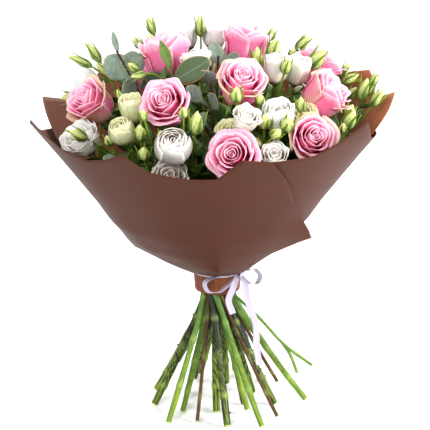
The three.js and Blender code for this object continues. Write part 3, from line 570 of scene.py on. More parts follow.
def petal_finish(name, foot, body, rim, back, roughness, weathered=()):
    """A petal: deep at its foot, pale at its rim, veined along, and another tint outside."""
    tree = Finish(name)
    along, across, layer, inside = (tree.attribute(n) for n in PAINT)
    streak = tree.vector(across * 9.0, along * 1.6, layer * 31.0)
    veining = tree.noise(streak, 2.2, 4.0)
    cloud = tree.noise(tree.place(), 55.0, 2.0)
    wander = (veining - 0.5) * 0.22 + (cloud - 0.5) * 0.2
    reach = along + wander
    tint = tree.mix(tree.step(reach, 0.3, 0.82), foot, body)
    outer = tree.mix(tree.step(reach, 0.15, 0.9), back, body)
    tint = tree.mix((1 - inside) * 0.75, tint, outer)
    sides = tree.step(abs(across), 0.72, 1.0) * tree.step(along, 0.45, 0.8)
    edge = tree.step(reach, 0.74, 1.0).math("MAXIMUM", sides)
    tint = tree.mix(edge * 0.85, tint, rim)
    if weathered:
        guard = tree.step(layer, 0.96, 0.99)
        patches = tree.noise(tree.place(), 26.0, 3.0)
        faded = tree.step(along + abs(across) * 0.12 + patches * 0.5, 1.12, 1.42)
        tint = tree.mix(guard * faded * 0.8, tint, weathered[1])
        worn = patches + edge * 0.1 + tree.step(layer, 1.05, 1.15) * 0.2
        tint = tree.mix(guard * tree.step(worn, 0.47, 0.66) * 0.75, tint, weathered[0])
    tint = tree.shaded(tint, 1 + (veining - 0.5) * 0.14)
    return tree.done(
        base_color=tint, roughness=roughness, normal=tree.bump(veining, 0.0006, 0.35),
        subsurface_weight=0.45, subsurface_radius=(0.006, 0.0035, 0.0035), subsurface_scale=1.0,
        specular_ior_level=0.3,
    )


def rose_finish(look):
    return petal_finish(
        "rose petal", look.deep, look.body, look.pale, look.back, 0.55, (look.tan, look.fade)
    )


def bloom_finishes(look):
    """The finish of each bloom that isn't ivory, by its name, and that of all the others as ""."""
    kinds = (
        ("ivory", (look.cream, look.white, look.white, look.shade), ("",)),
        ("cream", (look.heart, look.cream, look.cream, look.bud), CREAM),
        # painted light: these blooms are painted whiter all over, where little light reaches them
        ("white", (look.cream, look.white_painted_light, look.white_painted_light, look.white_painted_light), PAINTED_LIGHT_BLOOMS),
        # painted shade: the two low blooms at the front are painted darker over most of each petal
        # and outside
        ("blush", (look.blush, look.blush_painted_shade, look.blush, look.blush_painted_shade), SHADED_LOW_BLOOMS),
    )
    finishes = {}
    for label, tints, names in kinds:
        finish = petal_finish(f"lisianthus petal, {label}", *tints, 0.5)
        finishes.update(dict.fromkeys(names, finish))
    return finishes


def stem_finish(name, fresh, dark, look, woody=0.0, cut=True):
    """A stem: streaked green, darker where its tone and painted shade say, yellower at its joints,
    scarred, and pale where it is cut.
    """
    tree = Finish(name)
    run, tone, joint = (tree.attribute(n) for n in ("run", "tone", "joint"))
    ring = tree.add("ShaderNodeAttribute", {"attribute_name": "ring"}, output="Vector")
    grown = tree.add(
        "ShaderNodeVectorMath", {"operation": "MULTIPLY_ADD"},
        (ring, (1.5, 1.5, 1.0), tree.vector(tone * 40.0, 0.0, run * 0.035)),
    )
    streaks = tree.noise(grown, 1.4, 4.0)
    spots = tree.noise(grown, 3.4, 2.0)
    # tone holds a stem's random tone and its painted shade; both turn the fresh green to dark
    tint = tree.mix(tree.step(tone + (streaks - 0.5) * 2.6, -0.15, 0.75), fresh, dark)
    tint = tree.mix(joint * 0.28, tint, look.cut)
    tint = tree.mix(tree.step(spots, 0.64 - 0.08 * woody, 0.7) * 0.8, tint, look.scar)
    if cut:
        tint = tree.mix(tree.step(run, 1.6, 0.2), tint, look.cut)
    tint = tree.shaded(tint, 0.9 + streaks * 0.22)
    return tree.done(
        base_color=tint, roughness=0.42 + 0.2 * woody,
        normal=tree.bump(streaks, 0.0006, 0.6), specular_ior_level=0.25,
    )


def sepal_finish(look):
    tree = Finish("sepal green")
    along, across = tree.attribute("along"), tree.attribute("across")
    grain = tree.noise(tree.place(), 480.0, 3.0)
    tint = tree.mix(tree.step(along, 0.1, 0.95), look.sepal, look.fresh)
    tint = tree.mix(tree.step(abs(across), 0.35, 0.0) * 0.35, tint, look.dark)
    tint = tree.shaded(tint, 0.86 + grain * 0.28)
    return tree.done(
        base_color=tint, roughness=0.5, normal=tree.bump(grain, 0.0003, 0.4),
        specular_ior_level=0.4,
    )


def bud_finish(look, green):
    """A bud: green at its foot and along its folds, yellow-green at its tip."""
    tree = Finish("lisianthus bud")
    along, fold = tree.attribute("along"), tree.attribute("layer")
    grain = tree.noise(tree.place(), 260.0, 3.0)
    tint = tree.mix(tree.step(along + (grain - 0.5) * 0.3, 0.05, 0.6), look.bud_foot, look.bud)
    tint = tree.mix(tree.step(fold, 0.42, 0.05) * 0.7, tint, green.sepal)
    tint = tree.mix(tree.step(along, 0.8, 1.0) * 0.4, tint, look.cream)
    tint = tree.shaded(tint, 0.9 + grain * 0.2)
    return tree.done(
        base_color=tint, roughness=0.48, normal=tree.bump(grain, 0.0003, 0.4),
        subsurface_weight=0.08, subsurface_radius=(0.002, 0.003, 0.001), subsurface_scale=1.0,
    )


def leaf_finish(name, upper, film, edge_tint, under, rib):
    """A leaf: a waxy film over its upper face, a pale rib with side veins, a dry edge."""
    tree = Finish(name)
    along, across, inside = (tree.attribute(n) for n in ("along", "across", "inside"))
    blotch = tree.noise(tree.place(), 210.0, 4.0)
    fine = tree.noise(tree.place(), 900.0, 2.0)
    tint = tree.mix(tree.step(blotch + (fine - 0.5) * 0.4, 0.35, 0.7) * 0.75, upper, film)
    slant = (along - abs(across) * 0.22) * 60.0
    side_veins = tree.step(slant.math("SINE"), 0.82, 1.0) * tree.step(abs(across), 0.95, 0.2)
    tint = tree.mix(side_veins * 0.22, tint, rib)
    tint = tree.mix(tree.step(abs(across), 0.07, 0.02) * 0.6, tint, rib)
    tint = tree.mix(inside * 0.6, tint, under)
    rim = tree.step(abs(across), 0.9, 0.97).math("MAXIMUM", tree.step(along, 0.96, 0.985))
    tint = tree.mix(rim * 0.8, tint, edge_tint)
    height = side_veins * -0.4 + tree.step(abs(across), 0.08, 0.0) * -1.0 + fine * 0.2
    return tree.done(
        base_color=tint, roughness=0.5 + 0.12 * (blotch - 0.5),
        normal=tree.bump(height, 0.0006, 0.4), specular_ior_level=0.4,
    )


def green_leaf_finish(look):
    return leaf_finish(
        "lisianthus leaf", look.leaf, look.leaf_film, look.fresh, look.sepal, look.cut
    )


def paper_finish(look):
    """Matt kraft paper, darker and lighter in soft clouds, with fine fibres."""
    tree = Finish("wrapping paper")
    inside = tree.attribute("inside")
    cloud = tree.noise(tree.place(), 7.0, 2.0)
    fibre = tree.noise(tree.place(), 950.0, 4.0)
    collar = tree.step(tree.attribute("along"), *COLLAR)
    right = tree.add("ShaderNodeSeparateXYZ", inputs=(tree.place(),))
    # painted light: the inside turns lighter towards the right
    inner = tree.mix(tree.step(right, *PAINTED_LIGHT_RIGHT), look.inside, look.inside_painted_light)
    tint = tree.mix(inside.math("MAXIMUM", collar), look.paper, inner)
    tint = tree.shaded(tint, 0.99 + (cloud - 0.5) * 0.3 + (fibre - 0.5) * 0.1)
    return tree.done(
        base_color=tint, roughness=0.5 + 0.14 * fibre, normal=tree.bump(fibre, 0.00012, 0.35),
        sheen_weight=0.03, sheen_roughness=0.3, sheen_tint=look.sheen, specular_ior_level=0.1,
    )


def ribbon_finish(look):
    """Satin: fine lengthwise threads and a soft shine."""
    tree = Finish("satin ribbon")
    along, across = tree.attribute("along"), tree.attribute("across")
    threads = (across * 70.0).math("SINE") * 0.5 + 0.5
    wave = tree.noise(tree.vector(along * 0.05, across * 1.5, 0.0), 3.0, 2.0)
    hem = tree.step(abs(across), 0.86, 0.93)
    tint = tree.shaded(look.ribbon, 0.95 + (wave - 0.5) * 0.16 + threads * 0.03 - hem * 0.07)
    return tree.done(
        base_color=tint, roughness=0.34 + wave * 0.12, normal=tree.bump(threads, 0.00008, 0.5),
        sheen_weight=0.3, sheen_roughness=0.3, specular_ior_level=0.6,
    )


def string_finish(look):
    tree = Finish("jute string")
    hair = tree.noise(tree.place(), 1600.0, 4.0)
    tint = tree.shaded(look.string, 0.78 + hair * 0.4)
    return tree.done(base_color=tint, roughness=0.85, normal=tree.bump(hair, 0.0004, 0.7))


def floor_finish(look):
    tree = Finish("pale floor")
    speck = tree.noise(tree.place(), 30.0, 2.0)
    tint = tree.shaded(look.floor, 0.99 + speck * 0.02)
    return tree.done(base_color=tint, roughness=0.7, specular_ior_level=0.2)


# ---------------------------------------------------------------- meshes


class Body:
    """Points in mm, faces and painted values that are gathered into one mesh."""

    def __init__(self):
        self.points, self.faces, self.paint, self.count = [], [], [], 0

    def add(self, points, faces, paint):
        """Adds a part: paint has one row of the PAINT values for each point."""
        self.points.append(points)
        self.paint.append(paint)
        self.faces += [[self.count + k for k in face] for face in faces]
        self.count += len(points)

    def mesh(self, name, material):
        mesh = bpy.data.meshes.new(name)
        mesh.from_pydata((np.concatenate(self.points) * MM).tolist(), [], self.faces)
        paint = np.concatenate(self.paint).astype(np.float32)
        for column, value in enumerate(PAINT):
            layer = mesh.attributes.new(value, "FLOAT", "POINT")
            layer.data.foreach_set("value", np.ascontiguousarray(paint[:, column]))
        mesh.polygons.foreach_set("use_smooth", [True] * len(mesh.polygons))
        mesh.materials.append(material)
        mesh.update()
        return mesh


def shell_faces(rows, columns):
    """The faces of a thin closed body between two grids, the second behind the first."""
    other = rows * columns
    faces = []
    for i in range(rows - 1):
        for j in range(columns - 1):
            a, b = i * columns + j, i * columns + j + 1
            c, d = b + columns, a + columns
            faces += [(a, b, c, d), (a + other, d + other, c + other, b + other)]
    edge = list(range(columns - 1))
    edge += [i * columns + columns - 1 for i in range(rows - 1)]
    edge += [(rows - 1) * columns + j for j in range(columns - 1, 0, -1)]
    edge += [i * columns for i in range(rows - 1, 0, -1)]
    faces += [(b, a, a + other, b + other) for a, b in zip(edge, edge[1:] + edge[:1])]
    return faces


def thickened(grid, depth):
    """The points of a grid, then those of the same grid moved by depth against its normals."""
    across = np.gradient(grid, axis=1)
    upward = np.gradient(grid, axis=0)
    normal = np.cross(across, upward)
    normal /= np.linalg.norm(normal, axis=2, keepdims=True) + 1e-9
    return np.concatenate([grid.reshape(-1, 3), (grid - depth * normal).reshape(-1, 3)])


def shell(body, grid, depth, along, across, layer=0.0, stand=None):
    """Adds a thin closed sheet to a body. along and across are grids of painted values."""
    rows, columns = grid.shape[:2]
    points = thickened(grid, depth)
    if stand is not None:
        points = points @ stand[0].T + stand[1]
    paint = np.stack([
        np.tile(along.ravel(), 2), np.tile(across.ravel(), 2), np.full(len(points), layer),
        np.repeat([0.0, 1.0], rows * columns),
    ], axis=1)
    body.add(points, shell_faces(rows, columns), paint)


def loft(body, grid, along, layer):
    """Adds a closed body through the rings of a grid, rows along and columns round."""
    rows, columns = grid.shape[:2]
    faces = []
    for i in range(rows - 1):
        for j in range(columns):
            a, b = i * columns + j, i * columns + (j + 1) % columns
            faces.append((a, b, b + columns, a + columns))
    faces.append(tuple(range(columns - 1, -1, -1)))
    faces.append(tuple(range((rows - 1) * columns, rows * columns)))
    paint = np.stack([along.ravel(), 0 * along.ravel(), layer.ravel(), 0 * along.ravel()], axis=1)
    body.add(grid.reshape(-1, 3), faces, paint)


def bezier(profile, t):
    """Points of a cubic curve from its four control points."""
    a, b, c, d = (np.asarray(p, float) for p in profile)
    t = t[..., None]
    s = 1 - t
    return a * s**3 + 3 * b * s * s * t + 3 * c * s * t * t + d * t**3


def smoothed(points, step):
    """Rows about step apart on a smooth curve through the given rows: x, y, z and what follows."""
    points = np.asarray(points, float)
    run = np.concatenate([[0], np.cumsum(np.linalg.norm(np.diff(points[:, :3], axis=0), axis=1))])
    slope = np.gradient(points, run, axis=0)
    at = np.linspace(0, run[-1], max(3, round(run[-1] / step) + 1))
    i = np.clip(np.searchsorted(run, at, "right") - 1, 0, len(run) - 2)
    span = (run[i + 1] - run[i])[:, None]
    t = (at - run[i])[:, None] / span
    s = 1 - t
    return (points[i] * (1 + 2 * t) * s * s + slope[i] * span * t * s * s
            + points[i + 1] * (1 + 2 * s) * t * t - slope[i + 1] * span * s * t * t)


def facing(bearing, lean):
    """A unit vector from a bearing, anticlockwise from +X, and a lean from upright."""
    bearing, lean = math.radians(bearing), math.radians(lean)
    return Vector((
        math.sin(lean) * math.cos(bearing), math.sin(lean) * math.sin(bearing), math.cos(lean)
    ))


def turn_to(way, roll=0.0):
    """The rotation that stands a +Z body along a way, rolled about itself first."""
    return UP.rotation_difference(Vector(way)) @ Quaternion(UP, roll)


def standing(foot, way, roll):
    """The turn and the place of a +Z body that stands on a foot along a way."""
    return np.array(turn_to(way, roll).to_matrix()), np.array(foot, float)


# ---------------------------------------------------------------- geometry nodes


class Grower(Tree):
    """A geometry node tree with named inputs, which ends in Realize Instances and Set Material."""

    def __init__(self, name, **sockets):
        group = bpy.data.node_groups.new(name, "GeometryNodeTree")
        super().__init__(group)
        group.interface.new_socket("Geometry", in_out="INPUT", socket_type="NodeSocketGeometry")
        self.names = {}
        for label, kind in {**sockets, "Material": "Material"}.items():
            item = group.interface.new_socket(
                label.replace("_", " "), in_out="INPUT", socket_type="NodeSocket" + kind
            )
            self.names[label] = item.identifier
        group.interface.new_socket("Geometry", in_out="OUTPUT", socket_type="NodeSocketGeometry")
        self.entry = group.nodes.new("NodeGroupInput")

    def given(self, label):
        """One of the tree's named inputs."""
        return Socket(self, self.entry.outputs[label.replace("_", " ")])

    def named(self, name, kind="FLOAT"):
        """An attribute of the points that come in."""
        return self.add("GeometryNodeInputNamedAttribute", {"data_type": kind}, {"Name": name})

    def end(self, geometry):
        real = self.add("GeometryNodeRealizeInstances", inputs=(geometry,))
        smooth = self.add("GeometryNodeSetShadeSmooth", inputs=(real,))
        made = self.add(
            "GeometryNodeSetMaterial",
            inputs={"Geometry": smooth, "Material": self.given("Material")},
        )
        self.add("NodeGroupOutput", inputs=(made,))
        return self

    def grow(self, mesh, **values):
        """The plain mesh that the tree makes of a mesh with these inputs."""
        source = bpy.data.objects.new("source", mesh)
        bpy.context.scene.collection.objects.link(source)
        modifier = source.modifiers.new("grower", "NODES")
        modifier.node_group = self.tree
        for label, value in values.items():
            modifier[self.names[label]] = value
        depsgraph = bpy.context.evaluated_depsgraph_get()
        made = bpy.data.meshes.new_from_object(
            source.evaluated_get(depsgraph), preserve_all_data_layers=True, depsgraph=depsgraph
        )
        source.modifiers.remove(modifier)
        bpy.data.objects.remove(source)
        return made


def swept_tree():
    """Sweeps a round section along lines, as thick as their attribute radius says."""
    tree = Grower("Swept lines", Sides="Int", Twist="Float", Flatness="Float")
    lines = tree.add("GeometryNodeMeshToCurve", inputs=(tree.given("Geometry"),))
    length_along = tree.add("GeometryNodeSplineParameter", output="Length")
    tilted = tree.add(
        "GeometryNodeSetCurveTilt",
        inputs={"Curve": lines, "Tilt": length_along * tree.given("Twist")},
    )
    circle = tree.add(
        "GeometryNodeCurvePrimitiveCircle",
        inputs={"Resolution": tree.given("Sides"), "Radius": 1.0},
    )
    marked = tree.add(
        "GeometryNodeStoreNamedAttribute", {"data_type": "FLOAT_VECTOR"},
        {"Geometry": circle, "Name": "ring", "Value": tree.add("GeometryNodeInputPosition")},
    )
    narrow = tree.add("ShaderNodeCombineXYZ", inputs=(1.0, tree.given("Flatness"), 1.0))
    section = tree.add("GeometryNodeTransform", inputs={"Geometry": marked, "Scale": narrow})
    swept = tree.add(
        "GeometryNodeCurveToMesh",
        inputs={"Curve": tilted, "Profile Curve": section, "Scale": tree.named("radius"),
                "Fill Caps": True},
    )
    return tree.end(swept)


def placed_tree():
    """Places a template on points, turned and sized by their attributes turn and size."""
    tree = Grower("Placed on points", Template="Object", Seed="Int", Spread="Float")
    points = tree.add(
        "GeometryNodeMeshToPoints", inputs={"Mesh": tree.given("Geometry"), "Radius": 0.001}
    )
    template = tree.add(
        "GeometryNodeObjectInfo", inputs={"Object": tree.given("Template")}, output="Geometry"
    )
    turn = tree.add(
        "FunctionNodeEulerToRotation", inputs={"Euler": tree.named("turn", "FLOAT_VECTOR")}
    )
    vary = tree.add(
        "FunctionNodeRandomValue", {"data_type": "FLOAT"},
        {2: 1 - tree.given("Spread"), 3: 1 + tree.given("Spread"), "Seed": tree.given("Seed")},
        output=1,
    )
    size = tree.add(
        "ShaderNodeVectorMath", {"operation": "SCALE"},
        {"Vector": tree.named("size", "FLOAT_VECTOR"), "Scale": vary},
    )
    put = tree.add(
        "GeometryNodeInstanceOnPoints",
        inputs={"Points": points, "Instance": template, "Rotation": turn, "Scale": size},
    )
    return tree.end(put)


def lines_mesh(lines):
    """A mesh of open lines. A line is rows of x, y, z, radius, run, tone with painted shade, and
    joint, in mm.
    """
    mesh = bpy.data.meshes.new("lines")
    rows = np.concatenate(lines)
    edges, start = [], 0
    for line in lines:
        edges += [(start + k, start + k + 1) for k in range(len(line) - 1)]
        start += len(line)
    mesh.from_pydata((rows[:, :3] * MM).tolist(), edges, [])
    radius, run, tone, joint = rows[:, 3:].T
    columns = {"radius": radius * MM, "run": run, "tone": tone, "joint": joint}
    for name, values in columns.items():
        layer = mesh.attributes.new(name, "FLOAT", "POINT")
        layer.data.foreach_set("value", np.ascontiguousarray(values, np.float32))
    return mesh


def points_mesh(places):
    """A mesh of loose points. A place is a point in mm, a rotation and a size in three ways."""
    mesh = bpy.data.meshes.new("points")
    mesh.from_pydata([tuple(Vector(at) * MM) for at, _, _ in places], [], [])
    turn = mesh.attributes.new("turn", "FLOAT_VECTOR", "POINT")
    size = mesh.attributes.new("size", "FLOAT_VECTOR", "POINT")
    for k, (_, rotation, sizes) in enumerate(places):
        turn.data[k].vector = rotation.to_euler()
        size.data[k].vector = Vector(sizes) * MM
    return mesh


def template(name, body):
    """An object that is only there to be placed by Geometry Nodes. A unit is one metre in it."""
    mesh = body.mesh(name, None)
    mesh.transform(((1 / MM, 0, 0, 0), (0, 1 / MM, 0, 0), (0, 0, 1 / MM, 0), (0, 0, 0, 1)))
    made = bpy.data.objects.new(name, mesh)
    bpy.context.scene.collection.objects.link(made)
    made.hide_render = True
    return made


def piece(name, meshes, slot, *nodes):
    """Joins meshes to one piece that rides on the bouquet and stands for CAD nodes."""
    objects = []
    for mesh in meshes:
        made = bpy.data.objects.new(name, mesh)
        bpy.context.scene.collection.objects.link(made)
        objects.append(made)
    if len(objects) > 1:
        with bpy.context.temp_override(
            active_object=objects[0], object=objects[0], selected_objects=objects,
            selected_editable_objects=objects,
        ):
            bpy.ops.object.join()
    made = objects[0]
    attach(made, "root")
    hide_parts(*nodes)
    return made


# ---------------------------------------------------------------- petals

# Whorls of a rose, from its heart out: petals, radius and height of the rim, span in degrees and
# how far its rim curls, as a share of the outermost.
ROSE_WHORLS = (
    (2, 1.6, 42.5, 250, 0.0), (3, 3.8, 44.0, 200, 0.05), (3, 6.8, 45.2, 165, 0.15),
    (3, 10.2, 45.4, 150, 0.35), (4, 14.8, 44.2, 122, 0.6), (5, 20.2, 41.5, 98, 0.9),
    (5, 25.4, 36.5, 94, 1.0),
)
GUARD_RADIUS = 25.4

# How far the outer petals of a rose open, how high their tips stand in mm, and how weathered its
# guard petals are: from 1 on they are, and at 1.2 they are tan. "" is for all the others.
ROSE_FORMS = {
    "": (0.26, 1.5, 0.8), "a": (0.3, 5.0, 1.2), "b": (0.3, 1.5, 0.8), "c": (0.16, 9.0, 0.8),
    "d": (0.14, 4.0, 0.8), "e": (0.26, 1.5, 1.0), "f": (0.2, 4.5, 1.0), "g": (0.32, 1.5, 0.8),
    "h": (0.28, 1.5, 1.0),
}

# Whorls of a lisianthus of width 1 and height 1: petals, radius at the belly, radius and height of
# the rim, span, curl and ruffle.
BLOOM_WHORLS = {
    "globe": (
        (5, 0.52, 0.40, 0.93, 108, 0.0, 0.008), (5, 0.48, 0.35, 0.96, 108, 0.0, 0.008),
        (4, 0.43, 0.28, 0.98, 124, 0.0, 0.01), (4, 0.36, 0.21, 0.99, 130, 0.0, 0.01),
        (3, 0.26, 0.13, 0.98, 170, 0.0, 0.01), (2, 0.14, 0.05, 0.96, 230, 0.0, 0.008),
    ),
    "cup": (
        (5, 0.46, 0.49, 0.97, 96, 0.02, 0.014), (4, 0.42, 0.40, 1.0, 118, 0.01, 0.016),
        (4, 0.34, 0.28, 0.97, 122, 0.0, 0.02), (3, 0.22, 0.15, 0.92, 170, 0.0, 0.02),
    ),
    "open": (
        (5, 0.42, 0.54, 0.90, 104, 0.07, 0.03), (4, 0.36, 0.42, 0.98, 126, 0.05, 0.028),
        (3, 0.26, 0.27, 0.99, 160, 0.03, 0.026), (2, 0.15, 0.13, 0.95, 230, 0.01, 0.02),
    ),
}

# The blooms that aren't ivory: the youngest, which are cream; the two low at the front, painted
# darker as shade; and those painted whiter as light, where little light reaches them.
CREAM = ("cream_globe", "cream_open", "cream_cup", "middle_low")
SHADED_LOW_BLOOMS = ("front_upper", "front_lower")
PAINTED_LIGHT_BLOOMS = ("front_left", "left", "top_left", "top_right", "wide", "small")

ROUND_EDGE = 0.14  # how much shorter a petal is along its sides than in its middle


def petal(body, stand, rng, profile, turn, span, lap, curl, ruffle, depth, layer, columns, rows,
          tip, point=0.0, foot=0.42):
    """Adds one petal. Its middle line is a cubic profile of radius and height in mm.

    It stands turned by turn and spans span, in degrees, and laps over its neighbour by lap. Its rim
    curls out by curl, waves by ruffle, and its middle stands up by tip and out by point. foot is
    the share of its width at its foot.
    """
    shares = np.linspace(0, 1, rows + 1) ** 0.8
    across, along = np.meshgrid(np.linspace(-1, 1, columns + 1), shares)
    line = bezier(profile, along * (1 - ROUND_EDGE * across**2))
    width = foot + (1 - foot) * np.sin(np.pi / 2 * np.minimum(1, along / 0.6))
    angle = np.radians(turn + across * span * width / 2)
    rim = np.clip((along - 0.7) / 0.3, 0, 1)
    phase = rng.uniform(0, 2 * np.pi, 3)
    waves = np.sin(across * 5.2 + phase[0]) + 0.6 * np.sin(across * 9.5 + phase[1])
    middle = rim * (1 - np.abs(across)) ** 1.5
    rolled = curl * rim**2 * (0.4 + 0.8 * across**2)
    radius = line[..., 0] + lap * across + rolled + ruffle * rim**1.5 * waves + point * middle
    height = line[..., 1] - 0.75 * rolled * rim + tip * middle
    height += 0.6 * ruffle * rim**2 * np.sin(across * 7.3 + phase[2])
    grid = np.stack([radius * np.cos(angle), radius * np.sin(angle), height], axis=-1)
    shell(body, grid, depth, along, across, layer, stand)


def rose_head(body, stand, letter, look):
    """Adds the petals of a half-open rose."""
    rng = np.random.default_rng(ord(letter))
    spread, tip, weathered = ROSE_FORMS.get(letter, ROSE_FORMS[""])
    turn = 0.0
    for n, (petals, reach, top, span, roll) in enumerate(ROSE_WHORLS):
        # The inner whorls start higher up the heart and stand steeper than the guard petals.
        guard = reach / GUARD_RADIUS
        in_by, up_by = 0.92 - spread * guard**2, 0.62 + spread * guard**2
        low = 2 + 12 * (1 - guard)
        for k in range(petals):
            r = reach * rng.uniform(0.91, 1.04)
            high = top + rng.uniform(-2.4, 0.8)
            profile = (
                (1.5 + 0.1 * r, low), (1.12 * r, low - 1), (in_by * r, up_by * high), (r, high)
            )
            petal(
                body, stand, rng, profile, turn + 360 * k / petals + rng.uniform(-7, 7), span,
                lap=0.055 * r, curl=look.curl / MM * roll, ruffle=0.25 + 0.3 * guard,
                depth=look.thickness / MM, layer=guard * weathered,
                columns=12, rows=10, tip=tip * (0.2 + 0.8 * guard), point=1.0 + 1.8 * guard**2,
            )
        turn += 137.5 if petals < 5 else 36 + 8 * n


def bloom_head(body, stand, name, width, height, form, look):
    """Adds the petals of a lisianthus bloom."""
    rng = np.random.default_rng(sum(map(ord, name)))
    whorls = BLOOM_WHORLS[form]
    for n, (petals, belly, rim, top, span, curl, ruffle) in enumerate(whorls):
        start = 0.04 + 0.09 * n
        for k in range(petals):
            w = width * rng.uniform(0.97, 1.03)
            profile = (
                (0.11 * w, start * height), (1.22 * belly * w, (start + 0.02) * height),
                (1.1 * belly * w, 0.6 * height), (rim * w, top * height),
            )
            petal(
                body, stand, rng, profile, 36 * n + 360 * k / petals + rng.uniform(-6, 6), span,
                lap=0.03 * w, curl=curl * w, ruffle=ruffle * w, depth=look.thickness / MM,
                layer=1 - n / len(whorls), columns=12, rows=8, tip=0.01 * w, foot=0.5,
            )


# ---------------------------------------------------------------- stems


def triangles_of(node):
    """The triangles of a CAD node, in mm."""
    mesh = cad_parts[node].data
    mesh.calc_loop_triangles()
    points = np.empty(len(mesh.vertices) * 3)
    mesh.vertices.foreach_get("co", points)
    corners = np.empty(len(mesh.loop_triangles) * 3, np.int32)
    mesh.loop_triangles.foreach_get("vertices", corners)
    return points.reshape(-1, 3)[corners].reshape(-1, 3, 3) / MM


def middle_at(triangles, height):
    """The middle of a solid where a level cuts it."""
    under = (triangles[:, :, 2] < height).sum(axis=1)
    cuts = []
    for corners in triangles[(under > 0) & (under < 3)]:
        cuts.append([
            a + (b - a) * (height - a[2]) / (b[2] - a[2])
            for a, b in zip(corners, np.roll(corners, -1, axis=0))
            if (a[2] < height) != (b[2] < height)
        ])
    cuts = np.array(cuts)
    weight = np.linalg.norm(cuts[:, 1] - cuts[:, 0], axis=1)[:, None]
    return (cuts.mean(axis=1) * weight).sum(axis=0) / weight.sum()


def course(node, to, way):
    """The line of a stem: through its CAD solid as far as that is bare, then to what it carries."""
    triangles = triangles_of(node)
    cut = triangles[:, :, 2].min()
    bare = UNDER_PAPER - cut
    heights = [cut + 0.5, cut + 0.3 * bare, cut + 0.55 * bare, UNDER_PAPER, TIE_HEIGHT, OVER_TIE]
    heights += [z for z in LEVELS if z < to[2] - HEAD_ROOM]
    line = [middle_at(triangles, z) for z in heights]
    slant = (line[1] - line[0]) / np.linalg.norm(line[1] - line[0])
    # The end is cut square, so its middle is higher off the ground the more the stem slants.
    line[0][2] = cut + ROSE_STEM * math.hypot(slant[0], slant[1])
    return np.array([*line, to - NECK * way, to])


def stem_line(points, radius, tip, rng, tone, joints, swell):
    """Rows of a stem: a smooth line, its radius with swollen joints, run, tone with painted shade
    added by height, and joint.

    The joints are about joints apart, and each is thicker by swell.
    """
    line = smoothed(points, 5)
    run = np.concatenate([[0], np.cumsum(np.linalg.norm(np.diff(line, axis=0), axis=1))])
    thick = radius + (tip - radius) * np.clip((line[:, 2] - TIE_HEIGHT) / STEM_TAPER, 0, 1)
    joint = np.zeros(len(line))
    at = rng.uniform(0.4, 1.0) * joints
    while at < run[-1] - 15:
        joint = np.maximum(joint, np.exp(-(((run - at) / 3.0) ** 2)))
        at += joints * rng.uniform(0.75, 1.3)
    thick = thick * (0.97 + 0.04 * np.sin(run / 17 + rng.uniform(0, 6))) + swell * joint
    # painted shade: the stem's random tone is darkened by height, as the bunch shades it
    shade = tone + np.interp(line[:, 2], *STEM_SHADE)
    return np.column_stack([line, thick, run, shade, joint])


def sweep(start, start_way, end, end_way, steps):
    """Points of a cubic curve that leaves along one way and arrives along another."""
    reach = 0.36 * np.linalg.norm(end - start)
    t = np.linspace(0, 1, steps + 1)
    return bezier((start, start + reach * start_way, end - reach * end_way, end), t)


def branch_line(start, start_way, end, end_way, tone):
    """Rows of a thin branch from a fork to a bud or a bloom, with painted shade towards the fork.
    """
    line = sweep(start, start_way, end, end_way, 14)
    share_of = np.linspace(0, 1, len(line))
    thick = BRANCH_ROOT + (BRANCH - BRANCH_ROOT) * np.minimum(1, 2 * share_of)
    run = 20 + 60 * share_of
    # painted shade: a branch is darker towards its fork, deep inside the bunch
    shade = tone + 0.75 * (1 - share_of)
    return np.column_stack([line, thick, run, shade, 0 * run])


def on_stem(line, at, way_out, size, lean):
    """A place on a stem's line at a row number, for a template that leans out of it by lean."""
    row = line[at]
    ahead = Vector(line[min(at + 1, len(line) - 1), :3] - line[max(at - 1, 0), :3]).normalized()
    side = (Vector(way_out) - Vector(way_out).dot(ahead) * ahead).normalized()
    way = ahead * math.cos(math.radians(lean)) + side * math.sin(math.radians(lean))
    return row[:3] + np.array(side) * row[3] * 0.9, turn_to(way), size


# ---------------------------------------------------------------- small green parts


# A eucalyptus leaf's shortest stalk, half the width of a stalk, and how far down its rose's stem
# the stalk of a single leaf starts.
STALK_LEAST, STALK_HALF, LEAF_STALK = 3, 0.8, 50


def blade_grid(root, base, end, width, face, pointed=False):
    """A leaf from its root along a stalk to its blade's foot and end, as a grid and its paint."""
    rows, columns = 12, 6
    root, base, end, face = (np.asarray(v, float) for v in (root, base, end, face))
    way = (end - base) / np.linalg.norm(end - base)
    side = np.cross(face, way)
    side /= np.linalg.norm(side)
    lift = np.cross(way, side)
    t = np.linspace(0, 1, rows)
    round_half = np.sin(np.pi * (0.04 + 0.94 * t)) ** 0.62
    lance_half = np.sin(np.pi * (0.05 + 0.93 * t**1.25)) ** 1.1
    half = width / 2 * (lance_half if pointed else round_half)
    middle = base + (end - base) * t[:, None]
    middle = np.concatenate([[root], middle])
    least = np.where(t < 0.5, STALK_HALF, 0.2)
    half = np.concatenate([[STALK_HALF], np.maximum(half, least)])
    s = np.linspace(-1, 1, columns + 1)
    grid = (middle[:, None] + side * (half[:, None] * s)[..., None]
            + lift * (0.16 * half[:, None] * s**2)[..., None])
    along = np.concatenate([[0], t])[:, None] + 0 * s
    across = np.tile(s, (len(half), 1))
    return grid, along, across


